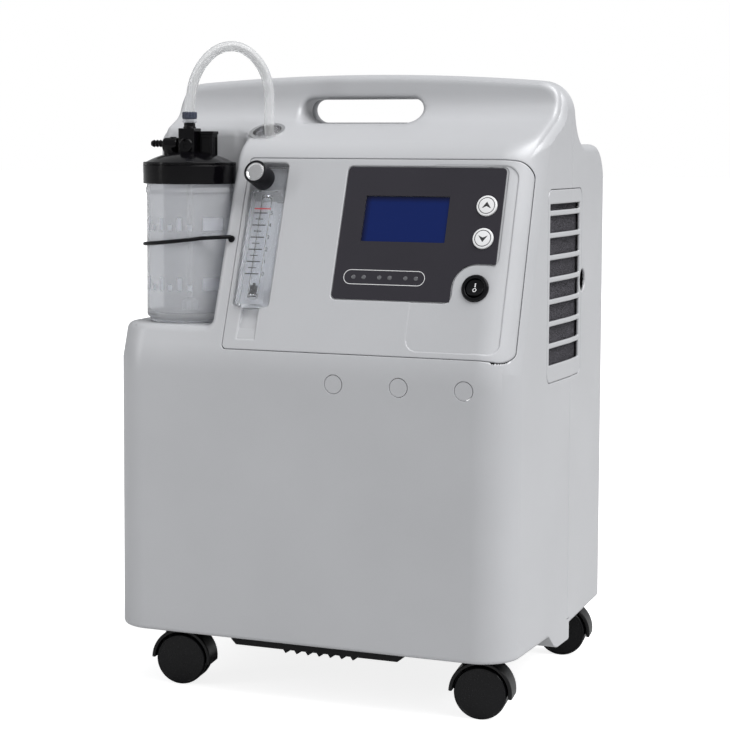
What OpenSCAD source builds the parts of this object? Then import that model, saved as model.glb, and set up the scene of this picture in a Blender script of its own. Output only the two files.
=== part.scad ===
// Home oxygen concentrator on casters: two-part casing with a carrying handle, a sloping
// control panel, a flow meter and a humidifier bottle, with the working parts inside.
// Frame: X to the user's right, Y to the back, Z up, origin on the floor below the middle.

/* [Casing] */
// Width of the front face
body_w = 405; // [402:1:408]
// Depth from the front face to the rear face
body_d = 315; // [313:1:317]
// Height of the carrying handle above the floor
body_h = 600; // [598:1:602]
// Height of the casing's lower edge
skirt_z = 60; // [60:1:61]
// Casing wall thickness
wall = 3; // [2.5:0.1:3.2]
// Outward flare of the front casing's sides, in degrees
side_flare = 2; // [1.9:0.1:2.1]
// Inward taper of the rear casing's sides, in degrees
rear_taper = 2.2; // [2.1:0.1:2.4]
// Where the front and rear casings meet
seam_y = 17.5; // [17:0.5:18]
// Radius of the two front upright corners
front_r = 36; // [35:1:37]
// Radius of the two rear upright corners
rear_r = 8; // [8:1:9]

/* [Sloping front] */
// Backward lean of the upper front, in degrees
lean = 20; // [19.8:0.1:20.2]
// Height where the front starts to lean back
crease_z = 327.5; // [326:0.5:328]
// Height of the front edge of the top ramp
ramp_front_z = 528; // [527:1:529]
// Height where the ramp meets the handle
ramp_top_z = 563; // [562:1:564]

/* [Handle] */
// Front face of the handle
handle_front_y = -9; // [-10:1:-8]
// Length of the hand hole
hole_w = 128; // [124:1:132]
// Height of the hand hole
hole_h = 23; // [22:1:24]
// Rise of the handle's arched top
crown_rise = 7; // [6:1:8]
// Radius of the handle's upper corners
handle_r = 28; // [26:1:30]

/* [Humidifier] */
// Bottle radius
bottle_r = 42; // [41:0.5:42.5]
// Radius of the screw cap
cap_r = 45.5; // [45:0.5:46]
// Height of the shelf under the bottle
shelf_z = 357.5; // [357:0.5:358]
// Bottle axis, left to right
bottle_x = -148; // [-149:0.5:-147.5]
// Bottle axis, front to back
bottle_y = -95; // [-96:0.5:-94.5]

/* [Casters] */
// Wheel radius
wheel_r = 25; // [24:0.5:25]
// Width of one wheel of the pair
wheel_w = 10.5; // [10:0.5:11]
// Distance from the swivel axis to the axle
trail = 10; // [9.5:0.5:10.5]
// Swivel stem radius
stem_r = 5; // [4.5:0.5:5.5]
// Running clearance round stems and axles
run_gap = 0.05; // [0.03:0.01:0.08]
// Direction that the casters stand turned to, in degrees
caster_yaw = 8; // [6:1:10]

/* [Controls] */
// Radius of the push buttons
button_r = 10; // [9:0.5:10]
// Radius of the flow knob
knob_r = 11.5; // [11:0.5:12]
// Length of the flow knob
knob_len = 24; // [23:1:25]
// Tilt of the rocker in its off position, in degrees
rocker_tilt = 10; // [8:1:12]

/* [Hidden] */
$fn = 64;

silver = [0.70, 0.71, 0.73];
pale = [0.83, 0.83, 0.84];
charcoal = [0.20, 0.19, 0.22];
black = [0.07, 0.07, 0.08];
steel = [0.72, 0.73, 0.75];
clear = [0.85, 0.90, 0.95, 0.45];

// Casing outline
front_y = -body_d / 2;
rear_y = body_d / 2;
gap = 0.5;
far = 700;
half_r = front_r / cos(side_flare);
ramp_y = front_y + (ramp_front_z - crease_z) * tan(lean);
ramp_tilt = atan((ramp_top_z - ramp_front_z) / (handle_front_y - ramp_y));
hole_z = 564.5;
void_top = hole_z - hole_h / 2 - wall;
rear_top = 532;
rear_top_r = 40;
handle_back_y = 30;
foot_y0 = -22;
foot_y1 = 24;
foot_z = 45;
foot_depth = 30;

// Bottle niche
niche_x = -100;
niche_y = -46;
niche_r = 26;

// Front panel, measured along the slope from the crease
panel_x0 = -85;
panel_x1 = 199;
panel_v0 = 11;
panel_v1 = 202;
panel_r = 14;
recess_x0 = -80.5;
recess_x1 = -43.5;
recess_v0 = 53;
recess_v1 = 197;
recess_depth = 12;
recess_wall = 2;

// Console
console_x0 = 20;
console_x1 = 177;
console_v0 = 64;
console_v1 = 194;
console_t = 1.5;
console_sunk = 1.5;
screen_x0 = 41.5;
screen_x1 = 125;
screen_v0 = 120.5;
screen_v1 = 165.5;
rocker_x = 160;
rocker_v = 78;
rocker_r = 9;
rocker_pivot = 3.2;
bezel_r = 13;
notch_r = 23.3;
button_x = 162;
up_v = 157;
down_v = 125.5;
led_x = 39.5;
led_v = 85.5;
led_r = 2.2;
led_pitch = 10.3;
led_pair = 25.9;
socket_r = 10;

// Flow meter
meter_x0 = -76;
meter_x1 = -47.5;
meter_v0 = 54;
meter_v1 = 168;
meter_front = 5;
meter_back = 10.5;
tube_x = -61;
tube_r = 6;
tube_v0 = 66;
tube_v1 = 160;
float_r = 4.6;
float_h = 7;
knob_x = -66.5;
knob_v = 180;

// Outlet on the ramp
port_x = -84;
port_y = -52;
port_z = ramp_front_z + (port_y - ramp_y) * tan(ramp_tilt);
port_r = 17;
port_depth = 15;
hose_r = 5;
hose_x = -82;
hose_y = -52;
hose_foot_z = 538;
nipple_r = 8;

// Humidifier heights
cap_z0 = 492;
cap_z1 = 512;
dome_z = 524;
neck_z = 488;
fitting_z = 546;
collar_z = 555;
nut_z = 562;
nozzle_z = 531;

// Vent cover on the right side
cover_y0 = -54;
cover_y1 = 58;
cover_z0 = 306.5;
cover_z1 = 489;
slot_y0 = -48;
slot_y1 = 50;
slot_h = 16;
slot_pitch = 20.9;
slot_z0 = 331;
foam_x0 = 190;

// Casters: swivel axes and the way each one trails
hood_r = 30;
hood_w = 26;
hood_top = 55;
front_caster = [155, -115];
rear_caster = [160, 135];

// Inside
pan_t = 4;
pan_z = skirt_z + 1.5;
deck_z = pan_z + pan_t;
pan_boss = [-130, -78];
socket_h = 13.5;
stem_h = 11;
fan_x = 60;
fan_y = -60;
fan_z = 239;
fan_size = 120;
fan_t = 25;
motor_z = 150;
tank_z = deck_z + 4;
bed_x = [-152, -68];
bed_y = 108;
coil_turns = 4;
coil_steps = 14;
supply_route = [[104, -59.6, 316], [103, -48, 318], [95, -12, 330], [70, 30, 350], [30, 62, 366],
  [-10, 84, 372],
  [-22, 104, 360], [-28, 108, 347]];
product_route = [[112, 108, 292], [112, 104, 320], [96, 90, 352], [60, 66, 392], [10, 34, 430],
  [-34, 6, 456],
  [-60, -18, 474], [-66, -34, 478], [-66.5, -42, 479]];

// Screw plugs and rear fittings
plug_x = [31.5, 96, 159];
plug_z = 309.5;
plug_r = 8.5;
inlet_x = 8;
breaker_x = 55;
rear_z = 118;
well_y = rear_y - 8;
well_x0 = -28;
well_x1 = 76;
well_h = 46;
grille_x = 20;
grille_z = 235;
grille_w = 150;
grille_h = 70;
screw_at = [[-178, 92], [178, 92], [-178, 290], [178, 290], [-178, 470], [178, 470]];

// Hose over the top: distance along the line from bottle to outlet, and height
hose_arch = [[0, 562], [0, 569], [1.3, 577], [3.2, 587.5], [6, 596.5], [10.2, 605], [15.5, 612.5],
  [22, 619],
  [29.8, 623.8], [38.6, 626.2], [47.6, 625.8], [56, 622.2], [63.6, 616.2], [69.8, 608.6], [74.4, 600],
  [77.2, 590.6], [78.5, 580.6], [78.7, 570], [78.7, 559], [78.7, 548], [78.7, 538]];
hose_span = 78.7;
hose_route = [for (p = hose_arch) [bottle_x + (hose_x - bottle_x) * p[0] / hose_span,
  bottle_y + (hose_y - bottle_y) * p[0] / hose_span, p[1]]];

// Fittings in the cap, from the bottle's axis
relief_at = [15, 9];
nozzle_turn = 180;
nozzle_r0 = 20;
fitting_r = 9.5;

// Elastic strap round the bottle, buttoned into the casing at its right end
strap_end = [-92, 119.3];
strap_r = 1.9;
strap_ring = bottle_r + strap_r + 0.3;
strap_dip = 8;
button_z = crease_z + strap_end[1] * cos(lean);
button_y = front_y + strap_end[1] * sin(lean);
strap_route = concat(
  [[strap_end[0], button_y - 3.2, button_z], [strap_end[0] - 9, button_y - 9.5, button_z - 0.6]],
  [for (i = [0:14]) let (a = -48 - i * 10)
    [bottle_x + strap_ring * cos(a), bottle_y + strap_ring * sin(a),
    button_z - 1.5 - strap_dip * sin(i * 90 / 14)]]);

// ---------- helpers ----------

function flare_x(y) = body_w / 2 + (y - front_y) * tan(side_flare);
function taper_x(y) = flare_x(seam_y) - (y - seam_y) * tan(rear_taper);
function meet(p, d, q, e) = p + d * cross(q - p, e) / cross(d, e);
function arc(c, r, a0, a1, n) =
  [for (i = [0:n]) let (a = a0 + (a1 - a0) * i / n) c + r * [cos(a), sin(a)]];

// Extrudes an outline drawn in (Y, Z) across the whole width
module across(w = 2 * far) {
  rotate([90, 0, 90]) translate([0, 0, -w / 2]) linear_extrude(w) children();
}

// Extrudes an outline drawn in (X, Z) from front to back
module through(y0, y1) {
  translate([0, y1, 0]) rotate([90, 0, 0]) linear_extrude(y1 - y0) children();
}

// Frame of the sloping front: X right, Y into the casing, Z up the slope from the crease
module on_slope(x = 0, v = 0, out = 0) {
  translate([0, front_y, crease_z]) rotate([-lean, 0, 0]) translate([x, -out, v]) children();
}

// Frame of the ramp: Z along the ramp's normal
module on_ramp() {
  translate([port_x, port_y, port_z]) rotate([ramp_tilt, 0, 0]) children();
}

// Plate in the slope frame, from the surface inwards
module slope_plate(x0, x1, v0, v1, r, y0, y1) {
  on_slope() translate([0, y1, 0]) rotate([90, 0, 0]) linear_extrude(y1 - y0)
    round_rect(x0, x1, v0, v1, r);
}

// Cylinder along the slope's normal, from depth y0 to depth y1
module slope_pin(x, v, r, y0, y1) {
  on_slope(x, v) translate([0, y1, 0]) rotate([90, 0, 0]) cylinder(r = r, h = y1 - y0);
}

module round_rect(x0, x1, y0, y1, r) {
  translate([x0 + r, y0]) square([x1 - x0 - 2 * r, y1 - y0]);
  translate([x0, y0 + r]) square([x1 - x0, y1 - y0 - 2 * r]);
  for (x = [x0 + r, x1 - r], y = [y0 + r, y1 - r]) translate([x, y]) circle(r = r);
}

// Round tube swept along a route, with closed ends
module sweep(route, r, sides = 10) {
  n = len(route);
  dirs = [for (i = [0:n - 1]) unit(route[min(i + 1, n - 1)] - route[max(i - 1, 0)])];
  side = unit(cross(dirs[0], route_normal(route)));
  frames = carry(dirs, side, 0, n);
  points = [for (i = [0:n - 1], k = [0:sides - 1])
    route[i] + r * (cos(360 * k / sides) * frames[i] + sin(360 * k / sides) * cross(dirs[i], frames[i]))];
  walls = [for (i = [0:n - 2], k = [0:sides - 1])
    [i * sides + k, i * sides + (k + 1) % sides, (i + 1) * sides + (k + 1) % sides, (i + 1) * sides + k]];
  ends = [[for (k = [sides - 1:-1:0]) k], [for (k = [0:sides - 1]) (n - 1) * sides + k]];
  polyhedron(points, [for (f = concat(walls, ends)) [for (i = [len(f) - 1:-1:0]) f[i]]]);
}
function unit(v) = v / norm(v);
function route_normal(p) = abs(unit(p[1] - p[0])[2]) > 0.9 ? [0, 1, 0] : [0, 0, 1];
function carry(dirs, side, i, n) = i == n ? [] :
  let (s = unit(side - dirs[i] * (side * dirs[i]))) concat([s], carry(dirs, s, i + 1, n));

// ---------- casing envelopes, inset by t ----------

module front_plan(t) {
  r = front_r - t;
  cy = front_y + front_r;
  cx = flare_x(cy) - half_r;
  side = [cx + r * cos(side_flare), cy - r * sin(side_flare)];
  seam = flare_x(seam_y) - t / cos(side_flare);
  polygon([[-cx, front_y + t], [cx, front_y + t], side, [seam, seam_y], [-seam, seam_y],
    [-side[0], side[1]]]);
  for (s = [-1, 1]) translate([s * cx, cy]) circle(r = r);
}

module rear_plan(t) {
  r = rear_r - t;
  cy = rear_y - rear_r;
  cx = taper_x(cy) - rear_r / cos(rear_taper);
  side = [cx + r * cos(rear_taper), cy + r * sin(rear_taper)];
  seam = taper_x(seam_y) - t / cos(rear_taper);
  polygon([[-seam, seam_y], [seam, seam_y], side, [cx, rear_y - t], [-cx, rear_y - t],
    [-side[0], side[1]]]);
  for (s = [-1, 1]) translate([s * cx, cy]) circle(r = r);
}

// Side view of the front casing: upright front, leaning front, ramp, handle
module front_profile() {
  polygon([[front_y, skirt_z], [front_y, crease_z], [ramp_y, ramp_front_z], [handle_front_y, ramp_top_z],
    [handle_front_y + 3, body_h], [seam_y, body_h], [seam_y, skirt_z]]);
}

// Side view of the space inside the front casing
module front_void_profile(t) {
  lean_dir = [sin(lean), cos(lean)];
  ramp_dir = [cos(ramp_tilt), sin(ramp_tilt)];
  lean_in = [front_y + t / cos(lean), crease_z];
  ramp_in = [ramp_y, ramp_front_z - t / cos(ramp_tilt)];
  polygon([[front_y + t, 0], [front_y + t, crease_z - t * tan(lean / 2)],
    meet(lean_in, lean_dir, ramp_in, ramp_dir), meet(ramp_in, ramp_dir, [0, void_top], [1, 0]),
    [seam_y, void_top], [seam_y, 0]]);
}

// Side view of the rear casing: handle back, sweep down to the rear top, rounded rear edge
module rear_profile() {
  hollow = [66, rear_top + 46];
  polygon(concat([[seam_y, skirt_z], [rear_y, skirt_z]],
    arc([rear_y - rear_top_r, rear_top - rear_top_r], rear_top_r, 0, 90, 8),
    arc(hollow, 46, 270, 218, 8), [[handle_back_y - 2, body_h - 3], [handle_back_y - 5, body_h],
      [seam_y, body_h]]));
}

module rear_void_profile(t) {
  polygon(concat([[seam_y, 0], [rear_y - t, 0]],
    arc([rear_y - rear_top_r, rear_top - rear_top_r], rear_top_r - t, 0, 90, 8),
    [[seam_y, rear_top - t]]));
}

// Front view of the handle's arched top
module crown_outline() {
  edge = flare_x(seam_y) + 0.4;
  cx = edge - handle_r;
  crown = [for (i = [-8:8]) [cx * i / 8, body_h - crown_rise * i * i / 64]];
  polygon(concat([[cx, 0], [-cx, 0]], crown));
  shoulder = body_h - crown_rise - handle_r;
  polygon([[-edge, 0], [-edge, shoulder], [edge, shoulder], [edge, 0]]);
  for (s = [-1, 1]) translate([s * cx, shoulder]) circle(r = handle_r);
}

// Leaning block with rounded upright corners, which trims the upper front
module lean_block(t) {
  r = front_r - t;
  cx = body_w / 2 - front_r + 0.4;
  splay = atan(tan(side_flare) * sin(lean));
  intersection_for (s = [-1, 1]) {
    mirror([s < 0 ? 1 : 0, 0, 0]) on_slope() rotate([0, splay, 0]) translate([0, 0, -far / 2])
      linear_extrude(2 * far) {
      polygon([[-far, t], [cx, t], [cx + r, front_r], [cx + r + 40, far], [-far, far]]);
      translate([cx, front_r]) circle(r = r);
    }
  }
}

module front_envelope() {
  intersection() {
    linear_extrude(far) front_plan(0);
    across() front_profile();
    through(-far, far) crown_outline();
    lean_block(0);
  }
}

module front_void(t) {
  intersection() {
    translate([0, 0, -1]) linear_extrude(far) front_plan(t);
    across() front_void_profile(t);
    lean_block(t);
  }
}

module rear_envelope() {
  intersection() {
    linear_extrude(far) rear_plan(0);
    across() rear_profile();
    through(-far, far) crown_outline();
  }
}

module rear_void(t) {
  intersection() {
    translate([0, 0, -1]) linear_extrude(far) rear_plan(t);
    across() rear_void_profile(t);
  }
}

// ---------- casing cut-outs ----------

// Bottle niche, grown by g
module niche(g) {
  x1 = niche_x + g;
  y1 = niche_y + g;
  r = niche_r + g;
  translate([0, 0, shelf_z - g]) linear_extrude(far) {
    translate([-far, -far]) square([far + x1 - r, far + y1]);
    translate([-far, -far]) square([far + x1, far + y1 - r]);
    translate([x1 - r, y1 - r]) circle(r = r);
  }
}

module hand_hole(y0, y1) {
  through(y0, y1)
    round_rect(-hole_w / 2, hole_w / 2, hole_z - hole_h / 2, hole_z + hole_h / 2, hole_h / 2 - 0.01);
}

module panel_outline(g) {
  round_rect(panel_x0 - g, panel_x1 + g, panel_v0 - g, panel_v1 + g, panel_r);
}

module panel_cutter(g) {
  on_slope() translate([0, 60, 0]) rotate([90, 0, 0]) linear_extrude(100) panel_outline(g);
}

module cover_cutter(g) {
  translate([foam_x0 + 6, 0, 0]) rotate([90, 0, 90]) linear_extrude(40)
    round_rect(cover_y0 - g, cover_y1 + g, cover_z0 - g, cover_z1 + g, 10);
}

module rear_hole(x, z, w, h) {
  translate([x - w / 2, rear_y - 14, z - h / 2]) cube([w, 40, h]);
}

// Foot lobes that hang below the sides of the front casing
module foot_lobes() {
  lobe = [[foot_y0 - 24, skirt_z + 6], [foot_y0 - 14, skirt_z - 3], [foot_y0 - 4, foot_z + 1],
    [foot_y0 + 2, foot_z],
    [foot_y1 - 12, foot_z], [foot_y1, foot_z + 5], [foot_y1, skirt_z + 6]];
  intersection() {
    union() {
      linear_extrude(far) front_plan(0);
      linear_extrude(far) rear_plan(0);
    }
    across() polygon(lobe);
    union() {
      for (s = [-1, 1]) translate([s > 0 ? flare_x(seam_y) - foot_depth : -far, -far, 0])
        cube([far - flare_x(seam_y) + foot_depth, 2 * far, far]);
    }
  }
}

// ---------- casing ----------

module front_shell() color(silver) {
  difference() {
    union() {
      difference() {
        front_envelope();
        front_void(wall);
      }
      intersection() {
        front_envelope();
        niche(wall);
      }
      foot_lobes_front();
    }
    niche(0);
    hand_hole(-far, far);
    panel_cutter(gap);
    cover_cutter(gap);
    on_ramp() translate([0, 0, -60]) cylinder(r = port_r - 1, h = 100);
    for (x = plug_x) translate([x, front_y + wall + 1, plug_z]) rotate([90, 0, 0])
      cylinder(r = plug_r + 0.1, h = 20);
    strap_hole();
  }
}

module foot_lobes_front() {
  difference() {
    foot_lobes();
    translate([-far, seam_y, skirt_z]) cube([2 * far, far, far]);
    pan_space();
  }
}

// Room for the base pan
module pan_space() {
  translate([0, 0, pan_z - 0.2]) linear_extrude(far) {
    front_plan(wall);
    rear_plan(wall);
  }
}

module rear_shell() color(pale) {
  difference() {
    union() {
      difference() {
        rear_envelope();
        rear_void(wall);
      }
      rear_well(wall);
    }
    rear_well(0);
    hand_hole(-far, far);
    cover_cutter(gap);
    foot_clearance();
    finger_scoop();
    rear_hole(inlet_x, rear_z, 28.4, 20.4);
    rear_hole(grille_x, grille_z, grille_w - 10, grille_h - 10);
    translate([breaker_x, rear_y + 1, rear_z]) rotate([90, 0, 0]) cylinder(r = 6.2, h = 20);
    for (p = screw_at) translate([p[0], rear_y + 1, p[1]]) rotate([90, 0, 0]) {
      cylinder(r = 4.3, h = 3);
      cylinder(r = 2, h = 20);
    }
  }
}

// Sunk panel for the rear fittings, grown by g
module rear_well(g) {
  x0 = well_x0 - g;
  z0 = rear_z - well_h / 2 - g;
  through(well_y - g, g > 0 ? rear_y - 1 : rear_y + 1)
    round_rect(x0, well_x1 + g, z0, z0 + well_h + 2 * g, 5 + g);
}

module foot_clearance() {
  translate([-far, seam_y - 1, 0]) cube([2 * far, foot_y1 - seam_y + 1, skirt_z + 6.01]);
}

// Hollow beside the vent cover for a fingertip
module finger_scoop() {
  translate([taper_x(64) + 5, cover_y1 + 6, (cover_z0 + cover_z1) / 2])
    rotate([90, 0, 90]) translate([0, 0, -7]) cylinder(r = 11, h = 12);
}

module base_pan() color(black) {
  difference() {
    union() {
      translate([0, 0, pan_z]) linear_extrude(pan_t) {
        front_plan(wall + 0.3);
        rear_plan(wall + 0.3);
      }
      translate([pan_boss[0], pan_boss[1], hood_top + 1.3]) cylinder(r = 16, h = pan_z - hood_top - 1);
      for (s = [-1, 1]) translate([s * 60, 60, foot_z + 5]) cylinder(r = 9, h = pan_z - foot_z - 4);
    }
    for (p = caster_axes()) translate([p[0], p[1], 0]) cylinder(r = 9.2, h = far);
    translate([-75, -128, 0]) cube([160, 100, far]);
  }
}

function caster_axes() = [for (s = [1, -1]) [s * front_caster[0], front_caster[1]],
  for (s = [1, -1]) [s * rear_caster[0], rear_caster[1]]];

// Slotted tray under the base, where cooling air leaves
module underside_tray() color(black) {
  z0 = 48.5;
  x0 = -84;
  x1 = 97;
  difference() {
    through(-135, -22) polygon([[x0 + 5, z0], [x1 - 9, z0], [x1, pan_z - 0.3], [x0, pan_z - 0.3],
      [x0, z0 + 5]]);
    through(-131, -26) polygon([[x0 + 8, z0 + 2], [x1 - 14, z0 + 2], [x1 - 8, pan_z + 1],
      [x0 + 4, pan_z + 1]]);
    for (i = [0:7]) translate([-36 + i * 11.6, -120, z0 - 1]) cube([6.6, 84, 6]);
  }
  for (i = [0:6]) translate([-28 + i * 11.6, 0, 0]) through(-134, -24)
    polygon([[-1.5, z0], [1, z0 - 3.5], [2.2, z0 - 3], [2.6, z0]]);
}

module screw_plugs() color(silver) {
  for (x = plug_x) translate([x, front_y + wall, plug_z]) rotate([90, 0, 0])
    cylinder(r = plug_r, h = wall - 0.3);
}

module shell_screws() color(steel) {
  for (p = screw_at) translate([p[0], rear_y - 0.4, p[1]]) rotate([90, 0, 0]) {
    difference() {
      cylinder(r = 4, h = 1.6);
      for (a = [0, 90]) rotate([0, 0, a]) translate([-2.2, -0.4, -0.1]) cube([4.4, 0.8, 0.9]);
    }
    translate([0, 0, 1.5]) cylinder(r = 1.9, h = 12);
  }
}

// ---------- sloping front panel ----------

module front_panel() color(silver) {
  difference() {
    union() {
      intersection() {
        difference() {
          front_envelope();
          front_void(wall);
        }
        panel_cutter(0);
      }
      slope_plate(recess_x0 - recess_wall, recess_x1 + recess_wall,
        recess_v0 - recess_wall, recess_v1 + recess_wall,
        4, 1, recess_depth + recess_wall);
      slope_plate(console_x0 - 4, console_x1 + 12, console_v0 - 26, console_v1 + 4, 8, 2, wall + 2);
    }
    slope_plate(recess_x0, recess_x1, recess_v0, recess_v1, 3, -10, recess_depth);
    slope_plate(console_x0 - 1, 187, console_v0 - 24, console_v1 + 1.5, 6, -5, console_sunk);
    slope_plate(screen_x0 + 2, screen_x1 - 2, screen_v0 + 2, screen_v1 - 2, 1, -5, 20);
    slope_pin(rocker_x, rocker_v, socket_r, -5, 20);
    for (v = [up_v, down_v]) slope_pin(button_x, v, button_r + 0.3, -5, 20);
    for (i = [0:5]) slope_pin(led_at(i), led_v, led_r + 0.2, -5, 20);
    slope_pin(knob_x, knob_v, 3.4, 0, 30);
  }
}

function led_at(i) = led_x + floor(i / 2) * led_pair + (i % 2) * led_pitch;

module console_outline() {
  difference() {
    round_rect(console_x0, console_x1, console_v0, console_v1, 4);
    translate([rocker_x, rocker_v]) circle(r = notch_r);
    translate([rocker_x, console_v0 - 1]) square([console_x1, rocker_v + notch_r - console_v0 + 1]);
    translate([rocker_x - notch_r, console_v0 - 1]) square([console_x1, rocker_v - console_v0 + 1]);
  }
}

module console_plate() color(charcoal) {
  difference() {
    on_slope() translate([0, console_sunk - 0.02, 0]) rotate([90, 0, 0])
      linear_extrude(console_t - 0.22) console_outline();
    slope_plate(screen_x0, screen_x1, screen_v0, screen_v1, 0.5, -5, 20);
    for (v = [up_v, down_v]) slope_pin(button_x, v, button_r + 0.3, -5, 20);
    for (i = [0:5]) slope_pin(led_at(i), led_v, led_r, -5, 20);
  }
}

module display_screen() color([0.08, 0.15, 0.40]) {
  slope_plate(screen_x0 + 2.3, screen_x1 - 2.3, screen_v0 + 2.3, screen_v1 - 2.3, 0.6, 1.2, 7);
  slope_plate(screen_x0 - 4, screen_x1 + 4, screen_v0 - 4, screen_v1 + 4, 1, wall + 2.1, wall + 6);
}

module indicator_leds() color([0.6, 0.65, 0.6]) {
  for (i = [0:5]) {
    slope_pin(led_at(i), led_v, led_r - 0.1, 0.6, 8);
    slope_pin(led_at(i), led_v, led_r + 0.8, 8, 9.5);
  }
}

module control_board() color([0.05, 0.35, 0.15]) {
  slope_plate(console_x0, 184, console_v0 - 2, console_v1 - 2, 2, 20.5, 22.1);
  slope_plate(40, 70, 80, 110, 0.5, 22.05, 26);
  slope_plate(90, 130, 150, 180, 0.5, 22.05, 36);
  slope_pin(150, 90, 8, 22.05, 40);
  slope_pin(60, 150, 6, 22.05, 34);
}

module rocker_bezel() color(black) {
  difference() {
    union() {
      slope_pin(rocker_x, rocker_v, bezel_r, -1.8, console_sunk - 0.02);
      slope_pin(rocker_x, rocker_v, socket_r - 0.1, 0, 16);
    }
    slope_pin(rocker_x, rocker_v, rocker_r + 0.35, -5, 13);
  }
}

// Rocker disc, tilted to its off position; it pivots about its own middle
module rocker_switch() color(black) {
  on_slope(rocker_x, rocker_v) translate([0, rocker_pivot, 0]) rotate([-rocker_tilt, 0, 0])
    intersection() {
    rotate([90, 0, 0]) translate([0, 0, -3]) cylinder(r = rocker_r - 0.25, h = 7.4);
    rotate([0, 90, 0]) translate([0, 0, -far]) cylinder(r = rocker_r - 0.2, h = 2 * far);
    difference() {
      translate([-20, -4.4, -20]) cube([40, 8, 40]);
      translate([0, -21.5, 0]) rotate([0, 90, 0]) cylinder(r = 18, h = 60, center = true);
    }
  }
  slope_rod(rocker_x, rocker_v, rocker_pivot, 1.5, 2 * rocker_r + 0.1);
}

// Pivot rod along X in the slope frame
module slope_rod(x, v, y, r, w) {
  on_slope(x, v) translate([-w / 2, y, 0]) rotate([0, 90, 0]) cylinder(r = r, h = w);
}

module push_button(v) {
  slope_pin(button_x, v, button_r, -1.2, 5);
  slope_pin(button_x, v, 3, 4.9, 18.9);
}
module up_button() color("white") push_button(up_v);
module down_button() color("white") push_button(down_v);

// ---------- flow meter ----------

module flowmeter_body() color(clear) {
  difference() {
    slope_plate(meter_x0, meter_x1, meter_v0, meter_v1, 3, -meter_front, meter_back);
    on_slope(tube_x, tube_v0, -2) cylinder(r = tube_r, h = tube_v1 - tube_v0);
  }
}

module flow_float() color(black) {
  on_slope(tube_x, tube_v0 + 0.3, -2) {
    cylinder(r = float_r, h = float_h);
    translate([0, 0, float_h - 0.1]) cylinder(r = 1.8, h = 3);
  }
}

module needle_valve() color([0.75, 0.62, 0.30]) {
  difference() {
    union() {
      slope_pin(knob_x, knob_v, 8, recess_depth + recess_wall + 0.2, 40);
      slope_pin(knob_x, knob_v, 5.5, 39.9, 52);
    }
    slope_pin(knob_x, knob_v, 3.1, 0, 36);
  }
}

module flow_knob() color(black) {
  grips = 24;
  difference() {
    union() {
      slope_pin(knob_x, knob_v, knob_r, -knob_len, 1.5);
      slope_pin(knob_x, knob_v, 3, 1.4, 35);
    }
    slope_pin(knob_x, knob_v, knob_r - 1.8, -knob_len - 1, -knob_len + 1.2);
    on_slope(knob_x, knob_v) for (i = [0:grips - 1]) rotate([0, 360 * i / grips, 0])
      translate([knob_r + 0.35, -knob_len + 2, 0])
      rotate([-90, 0, 0]) cylinder(r = 0.9, h = knob_len);
  }
}

module knob_cap() color(steel) {
  slope_pin(knob_x, knob_v, knob_r - 1.9, -knob_len - 0.4, -knob_len + 1.2);
}

// ---------- oxygen outlet and hose ----------

module outlet_cup() color(steel) {
  difference() {
    on_ramp() difference() {
      union() {
        translate([0, 0, 0.05]) cylinder(r = port_r + 1, h = 1.2);
        translate([0, 0, -port_depth]) cylinder(r = port_r - 1.3, h = port_depth + 0.5);
      }
      translate([0, 0, -port_depth + 1.5]) cylinder(r = port_r - 2.8, h = far);
    }
    translate([hose_x, hose_y, 0]) cylinder(r = nipple_r + 0.2, h = far);
  }
}

module outlet_nipple() color(clear) {
  translate([hose_x, hose_y, 516]) cylinder(r = nipple_r, h = 9);
  translate([hose_x, hose_y, 524]) cylinder(r = 5.5, h = hose_foot_z - 524);
}

module outlet_hose() color(clear) sweep(hose_route, hose_r, 12);

module hose_nut() color([0.35, 0.40, 0.50]) {
  grips = 12;
  translate([bottle_x, bottle_y, 0]) difference() {
    translate([0, 0, collar_z - 2]) cylinder(r = 7.2, h = nut_z - collar_z + 2);
    translate([0, 0, collar_z - 3]) cylinder(r = 4.5 + run_gap, h = 6);
    for (i = [0:grips - 1]) rotate([0, 0, 360 * i / grips]) translate([7.7, 0, collar_z])
      cylinder(r = 0.9, h = 20);
  }
}

// ---------- humidifier ----------

module inlet_fitting() color(black) {
  translate([bottle_x, bottle_y, 0]) {
    translate([0, 0, dome_z - 6]) cylinder(r = fitting_r, h = fitting_z - dome_z + 6);
    translate([0, 0, fitting_z - 0.1]) cylinder(r = 5.6, h = 5.1);
    translate([0, 0, fitting_z + 4.9]) cylinder(r = 4.5, h = 6.5);
  }
}

module humidifier_cap() color(black) {
  translate([bottle_x, bottle_y, 0]) difference() {
    union() {
      translate([0, 0, cap_z0]) cylinder(r = cap_r, h = cap_z1 - cap_z0);
      translate([0, 0, cap_z1 - 0.1]) rotate_extrude() intersection() {
        translate([0, -78]) circle(r = 90);
        square([cap_r - 2, 40]);
      }
    }
    translate([0, 0, cap_z0 - 1]) cylinder(r = bottle_r + 1.7, h = 14.5);
    translate([0, 0, 0]) cylinder(r = 3.05, h = far);
    fitting_bore();
  }
}

// Seats for the fittings that stand in the cap's dome
module fitting_bore() {
  translate([0, 0, dome_z - 6]) cylinder(r = fitting_r, h = 40);
  translate([relief_at[0], relief_at[1], cap_z1 + 3]) cylinder(r = 8.5, h = 40);
  rotate([0, 0, nozzle_turn]) translate([nozzle_r0, 0, cap_z1 + 2]) cylinder(r = 8, h = 40);
}

module relief_valve() color(black) {
  translate([bottle_x + relief_at[0], bottle_y + relief_at[1], 0]) difference() {
    translate([0, 0, cap_z1 + 3]) cylinder(r = 8.5, h = 29);
    translate([0, 0, cap_z1 + 31]) cylinder(r = 6, h = 3);
    fitting_side_cut();
  }
}

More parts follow.
